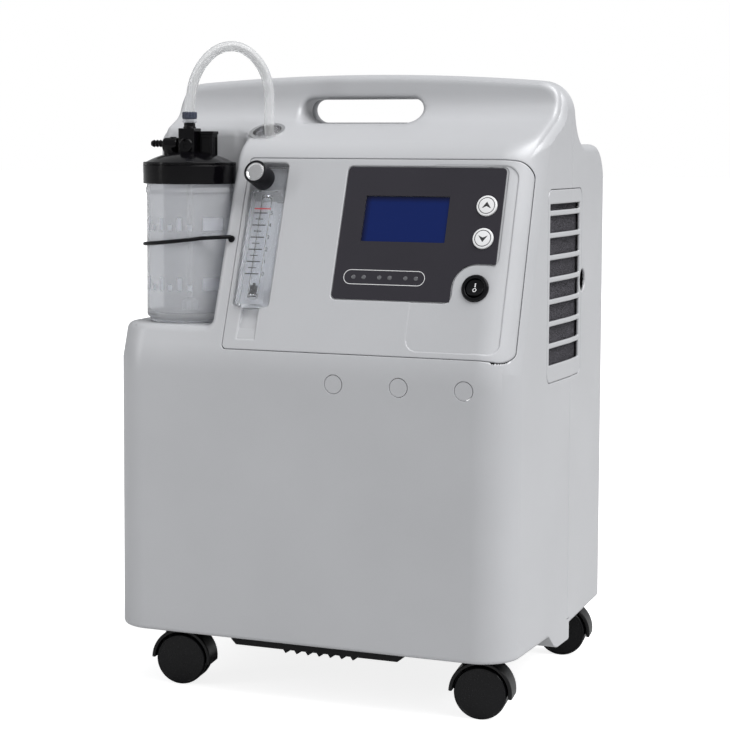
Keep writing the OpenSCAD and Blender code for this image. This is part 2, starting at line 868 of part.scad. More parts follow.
// Keeps the relief valve clear of the inlet fitting beside it
module fitting_side_cut() {
  translate([-relief_at[0], -relief_at[1], 0]) cylinder(r = fitting_r + 0.1, h = far);
}

module outlet_nozzle() color(black) {
  translate([bottle_x, bottle_y, 0]) rotate([0, 0, nozzle_turn]) difference() {
    union() {
      translate([nozzle_r0, 0, cap_z1 + 2]) cylinder(r = 8, h = nozzle_z - cap_z1 + 4);
      translate([nozzle_r0, 0, nozzle_z]) rotate([0, 90, 0]) cylinder(r = 3.2, h = 22);
      for (i = [0:2]) translate([nozzle_r0 + 14 + i * 3, 0, nozzle_z]) rotate([0, 90, 0])
        cylinder(r1 = 3.8, r2 = 2.6, h = 3);
    }
    cylinder(r = fitting_r + 0.1, h = far);
  }
}

module humidifier_bottle() color(clear) {
  translate([bottle_x, bottle_y, 0]) difference() {
    union() {
      translate([0, 0, shelf_z + 0.3]) cylinder(r = bottle_r - 4, h = 4);
      translate([0, 0, shelf_z + 3]) cylinder(r = bottle_r, h = neck_z - shelf_z - 3);
      translate([0, 0, neck_z - 2]) cylinder(r = bottle_r + 1.2, h = 18.5);
    }
    translate([0, 0, shelf_z + 5.5]) cylinder(r = bottle_r - 2, h = far);
  }
}

module dip_tube() color(clear) {
  translate([bottle_x, bottle_y, 0]) {
    translate([0, 0, shelf_z + 20]) cylinder(r = 3, h = dome_z - 6 - shelf_z - 20);
    translate([0, 0, shelf_z + 10]) cylinder(r = 8, h = 10.1);
  }
}

// Elastic strap round the bottle, buttoned into the casing at its right end
module strap_hole() {
  slope_pin(strap_end[0], strap_end[1], 2.2, -5, 12);
}

module bottle_strap() color(black) {
  sweep(strap_route, strap_r, 8);
  slope_pin(strap_end[0], strap_end[1], 2.1, -1, 5);
  slope_pin(strap_end[0], strap_end[1], 4, -5, -0.1);
}

// ---------- vent cover, foam and grille ----------

module side_wall() {
  difference() {
    front_envelope();
    front_void(wall);
  }
  difference() {
    rear_envelope();
    rear_void(wall);
  }
}

module filter_cover() color(pale) {
  difference() {
    intersection() {
      side_wall();
      cover_cutter(0);
    }
    for (i = [0:6]) translate([foam_x0, slot_y0, slot_z0 - slot_h / 2 + i * slot_pitch])
      cube([40, slot_y1 - slot_y0, slot_h]);
    translate([foam_x0, slot_y0, 469.5]) cube([40, slot_y1 - slot_y0, 6]);
    finger_scoop();
  }
}

module filter_foam() color(black) {
  translate([195, slot_y0 - 3, cover_z0 + 5])
    cube([7.6, slot_y1 - slot_y0 + 6, cover_z1 - cover_z0 - 10]);
}

module intake_grille() color(charcoal) {
  difference() {
    translate([foam_x0, cover_y0 - 4, cover_z0 - 4])
      cube([3, cover_y1 - cover_y0 + 8, cover_z1 - cover_z0 + 8]);
    for (j = [0:3], i = [0:8]) translate([foam_x0 - 1, cover_y0 + 6 + j * 26, cover_z0 + 6 + i * 19.5])
      cube([5, 21, 14.5]);
  }
}

// ---------- rear fittings ----------

module power_inlet() color(black) {
  translate([inlet_x, well_y, rear_z]) {
    difference() {
      union() {
        translate([-14, -20, -10]) cube([28, 21, 20]);
        translate([-25, 0.05, -12]) cube([50, 2.2, 24]);
      }
      translate([-12, -14, -8.9]) cube([24, 20, 17.8]);
      for (s = [-1, 1]) translate([s * 20, 3, 0]) rotate([90, 0, 0]) cylinder(r = 1.7, h = 6);
    }
    for (p = [[-7, -1.5], [7, -1.5], [0, 2.5]]) translate([p[0] - 1, -15, p[1] - 2.4]) cube([2, 12, 4.8]);
  }
}

module circuit_breaker() color(black) {
  translate([breaker_x, well_y, rear_z]) rotate([90, 0, 0]) difference() {
    union() {
      translate([0, 0, -3]) cylinder(r = 8.5, h = 2.95);
      translate([0, 0, -0.1]) cylinder(r = 6, h = 14);
      translate([-9, -12, 13.9]) cube([18, 24, 22]);
    }
    translate([0, 0, -4]) cylinder(r = 4.3, h = 16);
  }
}

module breaker_button() color([0.75, 0.1, 0.1]) {
  translate([breaker_x, well_y + 6.5, rear_z]) rotate([90, 0, 0]) cylinder(r = 4.2, h = 12);
}

module exhaust_grille() color(charcoal) {
  difference() {
    translate([grille_x - grille_w / 2, rear_y - wall - 2.2, grille_z - grille_h / 2])
      cube([grille_w, 2, grille_h]);
    for (j = [0:1], i = [0:6])
      translate([grille_x - 65 + j * 67, rear_y - 10, grille_z - 28 + i * 8.4]) cube([63, 20, 5]);
  }
}

// ---------- working parts inside ----------

module compressor() color(steel) {
  translate([fan_x, fan_y, 0]) {
    translate([-45, 0, motor_z]) rotate([0, 90, 0]) cylinder(r = 48, h = 90);
    for (s = [-1, 1]) {
      translate([s * 62, 0, motor_z]) rotate([0, 90, 0]) cylinder(r = 40, h = 34.2, center = true);
      translate([s * 62 - 17, -26, motor_z]) cube([34, 52, 64]);
      for (i = [0:3]) translate([s * 62 - 20, -29, motor_z + 40 + i * 6]) cube([40, 58, 3]);
      translate([s * 62 - 22, -31, motor_z + 63.9]) cube([44, 62, 12]);
      translate([s * 62 - 16, -44, motor_z - 58]) cube([32, 88, 24]);
    }
  }
}

module compressor_mounts() color(black) {
  for (sx = [-1, 1], sy = [-1, 1]) translate([fan_x + sx * 62, fan_y + sy * 34, deck_z + 0.1]) {
    cylinder(r = 10, h = 9);
    translate([0, 0, 8.9]) cylinder(r = 7, h = motor_z - 58 - deck_z - 18.2);
    translate([0, 0, motor_z - 58 - deck_z - 9.4]) cylinder(r = 10, h = 9.2);
  }
}

module sieve_beds() color(steel) {
  for (x = bed_x) translate([x, bed_y, tank_z]) {
    cylinder(r = 36, h = 250);
    cylinder(r = 39, h = 8);
    translate([0, 0, 242]) cylinder(r = 39, h = 8);
  }
}

module product_tank() color(steel) {
  translate([112, 108, tank_z]) {
    cylinder(r = 34, h = 210);
    translate([0, 0, 209.9]) cylinder(r = 8, h = 12);
  }
}

module valve_block() color(steel) {
  translate([-185, bed_y - 26, tank_z + 250.2]) difference() {
    cube([150, 52, 34]);
    for (x = [18, 132]) translate([x, 26, 20]) cylinder(r = 4, h = 20);
  }
  for (i = [0:3]) translate([-165 + i * 36, bed_y, tank_z + 284]) cylinder(r = 11, h = 30);
}

module fan_frame() color(black) {
  difference() {
    translate([fan_x - fan_size / 2, fan_y - fan_size / 2, fan_z + 0.1])
      cube([fan_size, fan_size, fan_t]);
    translate([fan_x, fan_y, fan_z - 1]) cylinder(r = 57, h = fan_t + 3);
    for (sx = [-1, 1], sy = [-1, 1]) translate([fan_x + sx * 52.5, fan_y + sy * 52.5, fan_z - 1])
      cylinder(r = 2.2, h = fan_t + 3);
  }
  translate([fan_x, fan_y, fan_z + 0.1]) {
    difference() {
      cylinder(r = 20, h = 3);
      translate([0, 0, -1]) cylinder(r = 2 + run_gap, h = 6);
    }
    for (a = [20:90:359]) rotate([0, 0, a]) translate([19, -3, 0]) cube([39, 6, 3]);
  }
}

module fan_rotor() color(charcoal) {
  blades = 7;
  translate([fan_x, fan_y, fan_z + 3.6]) {
    translate([0, 0, -3.4]) cylinder(r = 2, h = 4);
    cylinder(r = 21, h = 20);
    for (i = [0:blades - 1]) rotate([0, 0, i * 360 / blades]) translate([19, 0, 10])
      rotate([34, 0, 0]) translate([0, -11, -1]) cube([35, 22, 2]);
  }
}

module bulkhead() color(charcoal) {
  difference() {
    translate([0, 0, fan_z - 3]) linear_extrude(3) round_rect(-190, 190, -148, 52, 14);
    translate([fan_x, fan_y, fan_z - 10]) cylinder(r = 56, h = 20);
    translate([-140, -20, fan_z - 10]) cylinder(r = 12, h = 20);
    translate([150, 20, fan_z - 10]) cylinder(r = 12, h = 20);
  }
}

module silencer() color(black) {
  translate([150, 20, fan_z + 0.1]) {
    cylinder(r = 26, h = 12);
    translate([0, 0, 11.9]) cylinder(r = 23, h = 96);
    translate([0, 0, 107.8]) cylinder(r = 9, h = 16);
  }
}

module cooling_coil() color([0.80, 0.50, 0.32]) {
  sweep([for (i = [0:coil_turns * coil_steps]) let (a = 360 * i / coil_steps)
    [fan_x + 44 * cos(a), fan_y + 44 * sin(a), fan_z + fan_t + 8 + 11 * i / coil_steps]], 3.2, 8);
}

module motor_capacitor() color(steel) {
  translate([-75, -110, deck_z + 0.1]) {
    cylinder(r = 20, h = 72);
    for (s = [-1, 1]) translate([s * 7, 0, 71.9]) cylinder(r = 2, h = 6);
  }
}

module inner_hoses() color([0.2, 0.2, 0.22]) {
  sweep(supply_route, 5, 8);
  sweep(product_route, 4, 8);
}

module caster_sockets() color(steel) {
  for (p = caster_axes()) translate([p[0], p[1], 0]) difference() {
    union() {
      translate([0, 0, hood_top + 0.5]) cylinder(r = 9, h = socket_h);
      translate([0, 0, deck_z + 0.1]) cylinder(r = 13, h = 3);
    }
    cylinder(r = stem_r + run_gap, h = hood_top + stem_h + 0.5);
  }
}

// ---------- casters ----------

// Places a caster: swivel axis at p, wheels trailing towards the angle a
module caster_at(p, a) {
  translate([p[0], p[1], 0]) rotate([0, 0, a]) children();
}

module caster_hood() {
  wheel_gap = hood_w - 2 * wheel_w;
  difference() {
    union() {
      translate([0, 0, 40]) cylinder(r = 9, h = hood_top - 40);
      translate([trail, 0, wheel_r]) rotate([90, 0, 0]) cylinder(r = hood_r, h = hood_w, center = true);
      translate([0, 0, hood_top - 0.1]) cylinder(r = stem_r, h = stem_h);
    }
    for (s = [-1, 1]) translate([trail, s * hood_w / 2, wheel_r]) rotate([90, 0, 0])
      cylinder(r = wheel_r + 1.5, h = 2 * wheel_w + 0.6, center = true);
    translate([trail, 0, wheel_r]) rotate([90, 0, 0]) cylinder(r = 3 + run_gap, h = 60, center = true);
    translate([trail - 60, -40, -60]) cube([120, 80, 60 + wheel_r - 2]);
    translate([trail - 4, -wheel_gap / 2 - 20, -60]) cube([8, wheel_gap + 40, 60 + wheel_r - 2]);
  }
  difference() {
    translate([trail, 0, wheel_r]) rotate([90, 0, 0]) cylinder(r = 7, h = wheel_gap - 1, center = true);
    translate([trail, 0, wheel_r]) rotate([90, 0, 0]) cylinder(r = 3 + run_gap, h = 60, center = true);
  }
}

module caster_wheels() {
  translate([trail, 0, wheel_r]) rotate([90, 0, 0]) {
    for (s = [-1, 1]) translate([0, 0, s * (hood_w - wheel_w) / 2]) rotate_extrude() {
      translate([0, -wheel_w / 2]) square([wheel_r - 3, wheel_w]);
      translate([0, -wheel_w / 2 + 3]) square([wheel_r, wheel_w - 6]);
      for (t = [-1, 1]) translate([wheel_r - 3, t * (wheel_w / 2 - 3)]) circle(r = 3);
    }
    cylinder(r = 3, h = hood_w - 1, center = true);
  }
}

module caster_hood_fr() color(black) caster_at([front_caster[0], front_caster[1]], caster_yaw)
  caster_hood();
module caster_hood_fl() color(black) caster_at([-front_caster[0], front_caster[1]], caster_yaw)
  caster_hood();
module caster_hood_rr() color(black) caster_at([rear_caster[0], rear_caster[1]], caster_yaw)
  caster_hood();
module caster_hood_rl() color(black) caster_at([-rear_caster[0], rear_caster[1]], caster_yaw)
  caster_hood();
module caster_wheels_fr() color(black) caster_at([front_caster[0], front_caster[1]], caster_yaw)
  caster_wheels();
module caster_wheels_fl() color(black)
  caster_at([-front_caster[0], front_caster[1]], caster_yaw) caster_wheels();
module caster_wheels_rr() color(black) caster_at([rear_caster[0], rear_caster[1]], caster_yaw)
  caster_wheels();
module caster_wheels_rl() color(black) caster_at([-rear_caster[0], rear_caster[1]], caster_yaw)
  caster_wheels();

front_shell();
rear_shell();
base_pan();
underside_tray();
front_panel();
console_plate();
display_screen();
indicator_leds();
control_board();
rocker_bezel();
rocker_switch();
up_button();
down_button();
flowmeter_body();
flow_float();
needle_valve();
flow_knob();
knob_cap();
outlet_cup();
outlet_nipple();
outlet_hose();
hose_nut();
inlet_fitting();
humidifier_cap();
outlet_nozzle();
relief_valve();
humidifier_bottle();
dip_tube();
bottle_strap();
filter_cover();
filter_foam();
intake_grille();
screw_plugs();
shell_screws();
power_inlet();
circuit_breaker();
breaker_button();
exhaust_grille();
compressor();
compressor_mounts();
sieve_beds();
product_tank();
valve_block();
fan_frame();
fan_rotor();
bulkhead();
silencer();
cooling_coil();
motor_capacitor();
inner_hoses();
caster_sockets();
caster_hood_fr();
caster_hood_fl();
caster_hood_rr();
caster_hood_rl();
caster_wheels_fr();
caster_wheels_fl();
caster_wheels_rr();
caster_wheels_rl();
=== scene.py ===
"""Looks for the oxygen concentrator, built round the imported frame.

The casing's shells are distance fields, meshed on stretched grids, so that every edge has its own
rounding. Lengths in the fields are in millimetres, and in Blender's objects in metres.
"""

import math

import bmesh
import bpy
import numpy as np
from mathutils import Matrix, Vector


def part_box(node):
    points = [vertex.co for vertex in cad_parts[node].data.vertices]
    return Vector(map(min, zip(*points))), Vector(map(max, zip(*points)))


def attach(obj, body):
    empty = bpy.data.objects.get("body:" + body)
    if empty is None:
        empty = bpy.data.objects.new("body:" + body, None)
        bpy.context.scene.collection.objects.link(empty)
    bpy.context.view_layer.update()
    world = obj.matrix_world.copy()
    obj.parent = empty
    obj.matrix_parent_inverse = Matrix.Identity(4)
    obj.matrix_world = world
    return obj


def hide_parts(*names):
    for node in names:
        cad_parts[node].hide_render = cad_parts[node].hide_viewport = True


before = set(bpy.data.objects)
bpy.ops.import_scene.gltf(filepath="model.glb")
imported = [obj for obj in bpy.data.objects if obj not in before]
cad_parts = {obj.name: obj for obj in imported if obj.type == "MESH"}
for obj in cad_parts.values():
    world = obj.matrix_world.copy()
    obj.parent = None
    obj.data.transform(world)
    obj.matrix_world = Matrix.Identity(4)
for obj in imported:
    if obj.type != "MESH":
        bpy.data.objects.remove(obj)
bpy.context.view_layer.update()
scene = bpy.context.scene
MM = 0.001

# ---------------------------------------------------------------- camera

CAMERA_AT = (0.7202, -1.7904, 0.5302)
CAMERA_TURN = math.radians(21.921)
CAMERA_PITCH = math.radians(4.352)
CAMERA_ROLL = math.radians(0.239)
CAMERA_LENS = 95.135
CAMERA_SHIFT = -0.10


def make_camera():
    data = bpy.data.cameras.new("camera")
    data.lens = CAMERA_LENS
    data.sensor_width = 36
    data.shift_y = CAMERA_SHIFT
    camera = bpy.data.objects.new("camera", data)
    level = math.pi / 2
    turn = Matrix.Rotation(CAMERA_TURN, 4, "Z") @ Matrix.Rotation(level - CAMERA_PITCH, 4, "X")
    camera.matrix_world = Matrix.Translation(CAMERA_AT) @ turn @ Matrix.Rotation(CAMERA_ROLL, 4, "Z")
    scene.collection.objects.link(camera)
    scene.camera = camera


make_camera()


# ---------------------------------------------------------------- hose

HOSE_FROM, HOSE_TO, HOSE_SPAN = (-148.0, -95.0), (-82.0, -52.0), 78.7
HOSE_ARCH = (
    (0, 562), (0, 569), (1.3, 577), (3.2, 587.5), (6, 596.5), (10.2, 605), (15.5, 612.5), (22, 619),
    (29.8, 623.8), (38.6, 626.2), (47.6, 625.8), (56, 622.2), (63.6, 616.2), (69.8, 608.6), (74.4, 600),
    (77.2, 590.6), (78.5, 580.6), (78.7, 570), (78.7, 559), (78.7, 548), (78.7, 538),
)
HOSE_WIDTH = 0.010


def curve_as_mesh(name, curve):
    """A swept curve as a mesh object, so that its bounds are those of its surface."""
    line = bpy.data.objects.new(name + "_line", curve)
    mesh = bpy.data.meshes.new_from_object(line)
    bpy.data.objects.remove(line)
    mesh.name = name
    mesh.polygons.foreach_set("use_smooth", [True] * len(mesh.polygons))
    swept = bpy.data.objects.new(name, mesh)
    scene.collection.objects.link(swept)
    return swept


def make_hose():
    (x0, y0), (x1, y1) = HOSE_FROM, HOSE_TO
    route = [Vector((x0 + (x1 - x0) * s / HOSE_SPAN, y0 + (y1 - y0) * s / HOSE_SPAN, z)) * MM for s, z in HOSE_ARCH]
    curve = bpy.data.curves.new("outlet_tube", "CURVE")
    curve.dimensions = "3D"
    curve.bevel_depth = HOSE_WIDTH / 2
    curve.bevel_resolution = 8
    curve.resolution_u = 6
    spline = curve.splines.new("BEZIER")
    spline.bezier_points.add(len(route) - 1)
    for point, co in zip(spline.bezier_points, route):
        point.co = co
        point.handle_left_type = point.handle_right_type = "AUTO"
    hose = curve_as_mesh("outlet_tube", curve)
    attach(hose, "casing")
    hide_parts("outlet_hose")
    return hose


hose = make_hose()


# ---------------------------------------------------------------- studio


def make_world():
    """Soft sky light, seen by the camera as plain white."""
    world = bpy.data.worlds.new("studio")
    world.use_nodes = True
    tree = world.node_tree
    sky = tree.nodes["Background"]
    sky.inputs["Color"].default_value = (0.97, 0.985, 1.0, 1)
    sky.inputs["Strength"].default_value = SKY
    white = tree.nodes.new("ShaderNodeBackground")
    white.inputs["Strength"].default_value = 1.0
    white.inputs["Color"].default_value = (1, 1, 1, 1)
    path = tree.nodes.new("ShaderNodeLightPath")
    mix = tree.nodes.new("ShaderNodeMixShader")
    tree.links.new(path.outputs["Is Camera Ray"], mix.inputs[0])
    tree.links.new(sky.outputs[0], mix.inputs[1])
    tree.links.new(white.outputs[0], mix.inputs[2])
    tree.links.new(mix.outputs[0], tree.nodes["World Output"].inputs["Surface"])
    scene.world = world


def make_floor():
    side = 30
    mesh = bpy.data.meshes.new("floor")
    mesh.from_pydata([(-side, -side, 0), (side, -side, 0), (side, side, 0), (-side, side, 0)], [], [(0, 1, 2, 3)])
    floor = bpy.data.objects.new("floor", mesh)
    scene.collection.objects.link(floor)
    paper = bpy.data.materials.new("floor_white")
    paper.use_nodes = True
    tree = paper.node_tree
    matt = tree.nodes["Principled BSDF"]
    matt.inputs["Base Color"].default_value = (*FLOOR_TONE, 1)
    matt.inputs["Roughness"].default_value = 0.8
    matt.inputs["Specular IOR Level"].default_value = 0.0
    lit = tree.nodes.new("ShaderNodeEmission")
    lit.inputs["Strength"].default_value = FLOOR_GLOW
    path = tree.nodes.new("ShaderNodeLightPath")
    add = tree.nodes.new("ShaderNodeAddShader")
    mix = tree.nodes.new("ShaderNodeMixShader")
    tree.links.new(matt.outputs[0], add.inputs[0])
    tree.links.new(lit.outputs[0], add.inputs[1])
    tree.links.new(path.outputs["Is Camera Ray"], mix.inputs[0])
    tree.links.new(matt.outputs[0], mix.inputs[1])
    tree.links.new(add.outputs[0], mix.inputs[2])
    tree.links.new(mix.outputs[0], tree.nodes["Material Output"].inputs["Surface"])
    mesh.materials.append(paper)


def sun(name, toward, strength, spread, colour=(1, 1, 1)):
    data = bpy.data.lights.new(name, "SUN")
    data.energy = strength
    data.angle = math.radians(spread)
    data.color = colour
    lamp = bpy.data.objects.new(name, data)
    lamp.rotation_euler = Vector(toward).to_track_quat("-Z", "Y").to_euler()
    scene.collection.objects.link(lamp)


def softbox(name, at, toward, size, power):
    data = bpy.data.lights.new(name, "AREA")
    data.shape = "RECTANGLE"
    data.size, data.size_y = size
    data.energy = power
    lamp = bpy.data.objects.new(name, data)
    lamp.location = at
    lamp.rotation_euler = (Vector(toward) - Vector(at)).to_track_quat("-Z", "Y").to_euler()
    scene.collection.objects.link(lamp)


SKY = 0.40
FLOOR_TONE = (0.55, 0.55, 0.55)
FLOOR_GLOW = 0.84
make_world()
make_floor()
sun("key", (-0.47, 0.06, -0.66), 3.2, 50)
softbox("top_box", (0.3, -1.0, 2.4), (0, 0, 0.4), (1.4, 0.5), 6)
softbox("left_box", (-1.9, -1.6, 1.2), (0, 0, 0.4), (0.35, 1.4), 9)
scene.view_settings.view_transform = "Standard"


# ---------------------------------------------------------------- materials


class Paint:
    """A material under construction: its node tree, with short ways to wire it."""

    def __init__(self, name):
        self.material = bpy.data.materials.new(name)
        self.material.use_nodes = True
        self.tree = self.material.node_tree
        self.shader = self.tree.nodes["Principled BSDF"]
        self.where = self.tree.nodes.new("ShaderNodeTexCoord").outputs["Object"]

    def node(self, kind, **inputs):
        n = self.tree.nodes.new("ShaderNode" + kind)
        for key, value in inputs.items():
            socket = n.inputs[key.replace("_", " ")]
            if isinstance(value, bpy.types.NodeSocket):
                self.tree.links.new(value, socket)
            else:
                socket.default_value = value
        return n

    def set(self, **inputs):
        for key, value in inputs.items():
            socket = self.shader.inputs[key.replace("_", " ")]
            if isinstance(value, bpy.types.NodeSocket):
                self.tree.links.new(value, socket)
            else:
                socket.default_value = value

    def stretched(self, scale):
        return self.node("Mapping", Vector=self.where, Scale=scale).outputs[0]

    def noise(self, scale, detail=2.0, where=None):
        return self.node("TexNoise", Vector=where or self.where, Scale=scale, Detail=detail).outputs["Fac"]

    def cells(self, scale, feature="F1", output="Distance", where=None):
        n = self.node("TexVoronoi", Vector=where or self.where, Scale=scale)
        n.feature = feature
        return n.outputs[output]

    def span(self, value, low, high, from_low=0.0, from_high=1.0):
        n = self.node("MapRange", Value=value)
        n.inputs["From Min"].default_value = from_low
        n.inputs["From Max"].default_value = from_high
        n.inputs["To Min"].default_value = low
        n.inputs["To Max"].default_value = high
        return n.outputs[0]

    def between(self, value, first, second):
        ramp = self.tree.nodes.new("ShaderNodeValToRGB")
        ramp.color_ramp.elements[0].color = (*first, 1)
        ramp.color_ramp.elements[1].color = (*second, 1)
        self.tree.links.new(value, ramp.inputs[0])
        return ramp.outputs[0]

    def bump(self, height, depth, strength=1.0, over=None):
        n = self.node("Bump", Height=height, Distance=depth * MM, Strength=strength)
        if over:
            self.tree.links.new(over, n.inputs["Normal"])
        return n.outputs[0]


def shade(colour, amount):
    return tuple(min(1.0, c * amount) for c in colour)


def moulded(name, colour, rough, grain=1100, relief=0.012, vary=0.08, mottle=14, **more):
    """Moulded plastic: fine spark-eroded grain, a faint drift of tone, roughness that follows both."""
    p = Paint(name)
    fine, broad = p.noise(grain, 3), p.noise(mottle, 3)
    mixed = p.node("Math", **{"Value": fine})
    mixed.operation = "MULTIPLY"
    p.tree.links.new(broad, mixed.inputs[1])
    tone = p.span(mixed.outputs[0], 0, 1, 0.12, 0.38)
    p.set(Base_Color=p.between(tone, shade(colour, 1 - vary), shade(colour, 1 + vary)))
    p.set(Roughness=p.span(fine, rough - 0.06, rough + 0.06, 0.3, 0.7))
    p.set(Normal=p.bump(fine, relief), **more)
    return p.material


def silver_paint(name, colour):
    """Satin silver-grey paint: metal flake under a thin clear coat, with faint orange peel."""
    p = Paint(name)
    flake = p.cells(2600, output="Color")
    speck = p.node("SeparateColor", Color=flake).outputs[0]
    drift = p.noise(9, 3)
    sum_ = p.node("Math", Value=speck)
    sum_.operation = "MULTIPLY_ADD"
    sum_.inputs[1].default_value = 0.4
    p.tree.links.new(p.span(drift, 0, 0.6, 0.3, 0.7), sum_.inputs[2])
    p.set(Base_Color=p.between(sum_.outputs[0], shade(colour, 0.955), shade(colour, 1.04)))
    p.set(Roughness=p.span(speck, 0.36, 0.5), Metallic=0.12)
    peel = p.bump(p.noise(420, 2), 0.006)
    p.set(Normal=p.bump(p.noise(1500, 2), 0.004, over=peel))
    p.set(Coat_Weight=0.18, Coat_Roughness=0.28, Specular_IOR_Level=0.42)
    return p.material


def clear(name, colour, rough, ior, haze=0.0, wave=60, relief=0.05, **more):
    """Clear plastic with slight moulding waviness and handling marks in its gloss."""
    p = Paint(name)
    streak = p.noise(wave, 2, p.stretched((1, 1, 0.3)))
    p.set(Base_Color=p.between(streak, shade(colour, 0.97), colour))
    p.set(Roughness=p.span(p.noise(300, 4), rough, rough + 0.05, 0.35, 0.75))
    p.set(Transmission_Weight=1.0 - haze, IOR=ior, Normal=p.bump(streak, relief), **more)
    return p.material


def metal(name, colour, rough, stretch=(1, 1, 1), scale=700, relief=0.01, vary=0.1):
    """Worked metal: fine tool marks drawn out along one direction, and a little tarnish."""
    p = Paint(name)
    marks = p.noise(scale, 4, p.stretched(stretch))
    stain = p.noise(30, 3)
    p.set(Base_Color=p.between(stain, shade(colour, 1 - vary), shade(colour, 1 + vary)))
    p.set(Metallic=1.0, Roughness=p.span(marks, rough * 0.7, rough * 1.4, 0.3, 0.7))
    p.set(Normal=p.bump(marks, relief))
    return p.material


def foam(name):
    """Open-cell foam: dark pits between lighter strands."""
    p = Paint(name)
    strands = p.cells(480, "DISTANCE_TO_EDGE")
    small = p.noise(2500, 2)
    p.set(Base_Color=p.between(p.span(strands, 1, 0, 0, 0.28), (0.003, 0.003, 0.004), (0.10, 0.095, 0.11)))
    p.set(Roughness=p.span(small, 0.75, 1.0), Specular_IOR_Level=0.25)
    p.set(Normal=p.bump(p.span(strands, 1, 0, 0, 0.3), 0.5, over=p.bump(small, 0.05)))
    return p.material


def display(name):
    """Unlit liquid crystal: fine cell grid, deeper blue toward the shaded upper and left edges."""
    p = Paint(name)
    where = p.node("SeparateXYZ", Vector=p.where)
    # painted shade: the screen turns deeper blue along its upper and left edges, standing for the shade that the
    # recess casts there
    left = p.span(where.outputs["X"], 0.25, 1, 0.0425, 0.0475)
    top = p.span(where.outputs["Z"], 1, 0.25, 0.4765, 0.4812)
    edge = p.node("Math", Value=left)
    edge.operation = "MULTIPLY"
    p.tree.links.new(top, edge.inputs[1])
    fine = p.noise(900, 1)
    lit = p.node("Math", Value=edge.outputs[0])
    lit.operation = "MULTIPLY_ADD"
    lit.inputs[1].default_value = 0.9
    p.tree.links.new(p.span(fine, -0.04, 0.06), lit.inputs[2])
    p.set(Base_Color=p.between(lit.outputs[0], (0.0008, 0.0015, 0.014), (0.003, 0.014, 0.105)))
    p.set(Roughness=p.span(p.noise(120, 2), 0.14, 0.22), Specular_IOR_Level=0.25)
    p.set(Normal=p.bump(fine, 0.002))
    return p.material


def board(name):
    """Green circuit board with copper tracks under the mask."""
    p = Paint(name)
    track = p.cells(160, "DISTANCE_TO_EDGE")
    p.set(Base_Color=p.between(p.span(track, 0, 1, 0.02, 0.06), (0.02, 0.16, 0.06), (0.008, 0.07, 0.03)))
    p.set(Roughness=p.span(p.noise(500, 2), 0.3, 0.45), Normal=p.bump(track, 0.03))
    return p.material


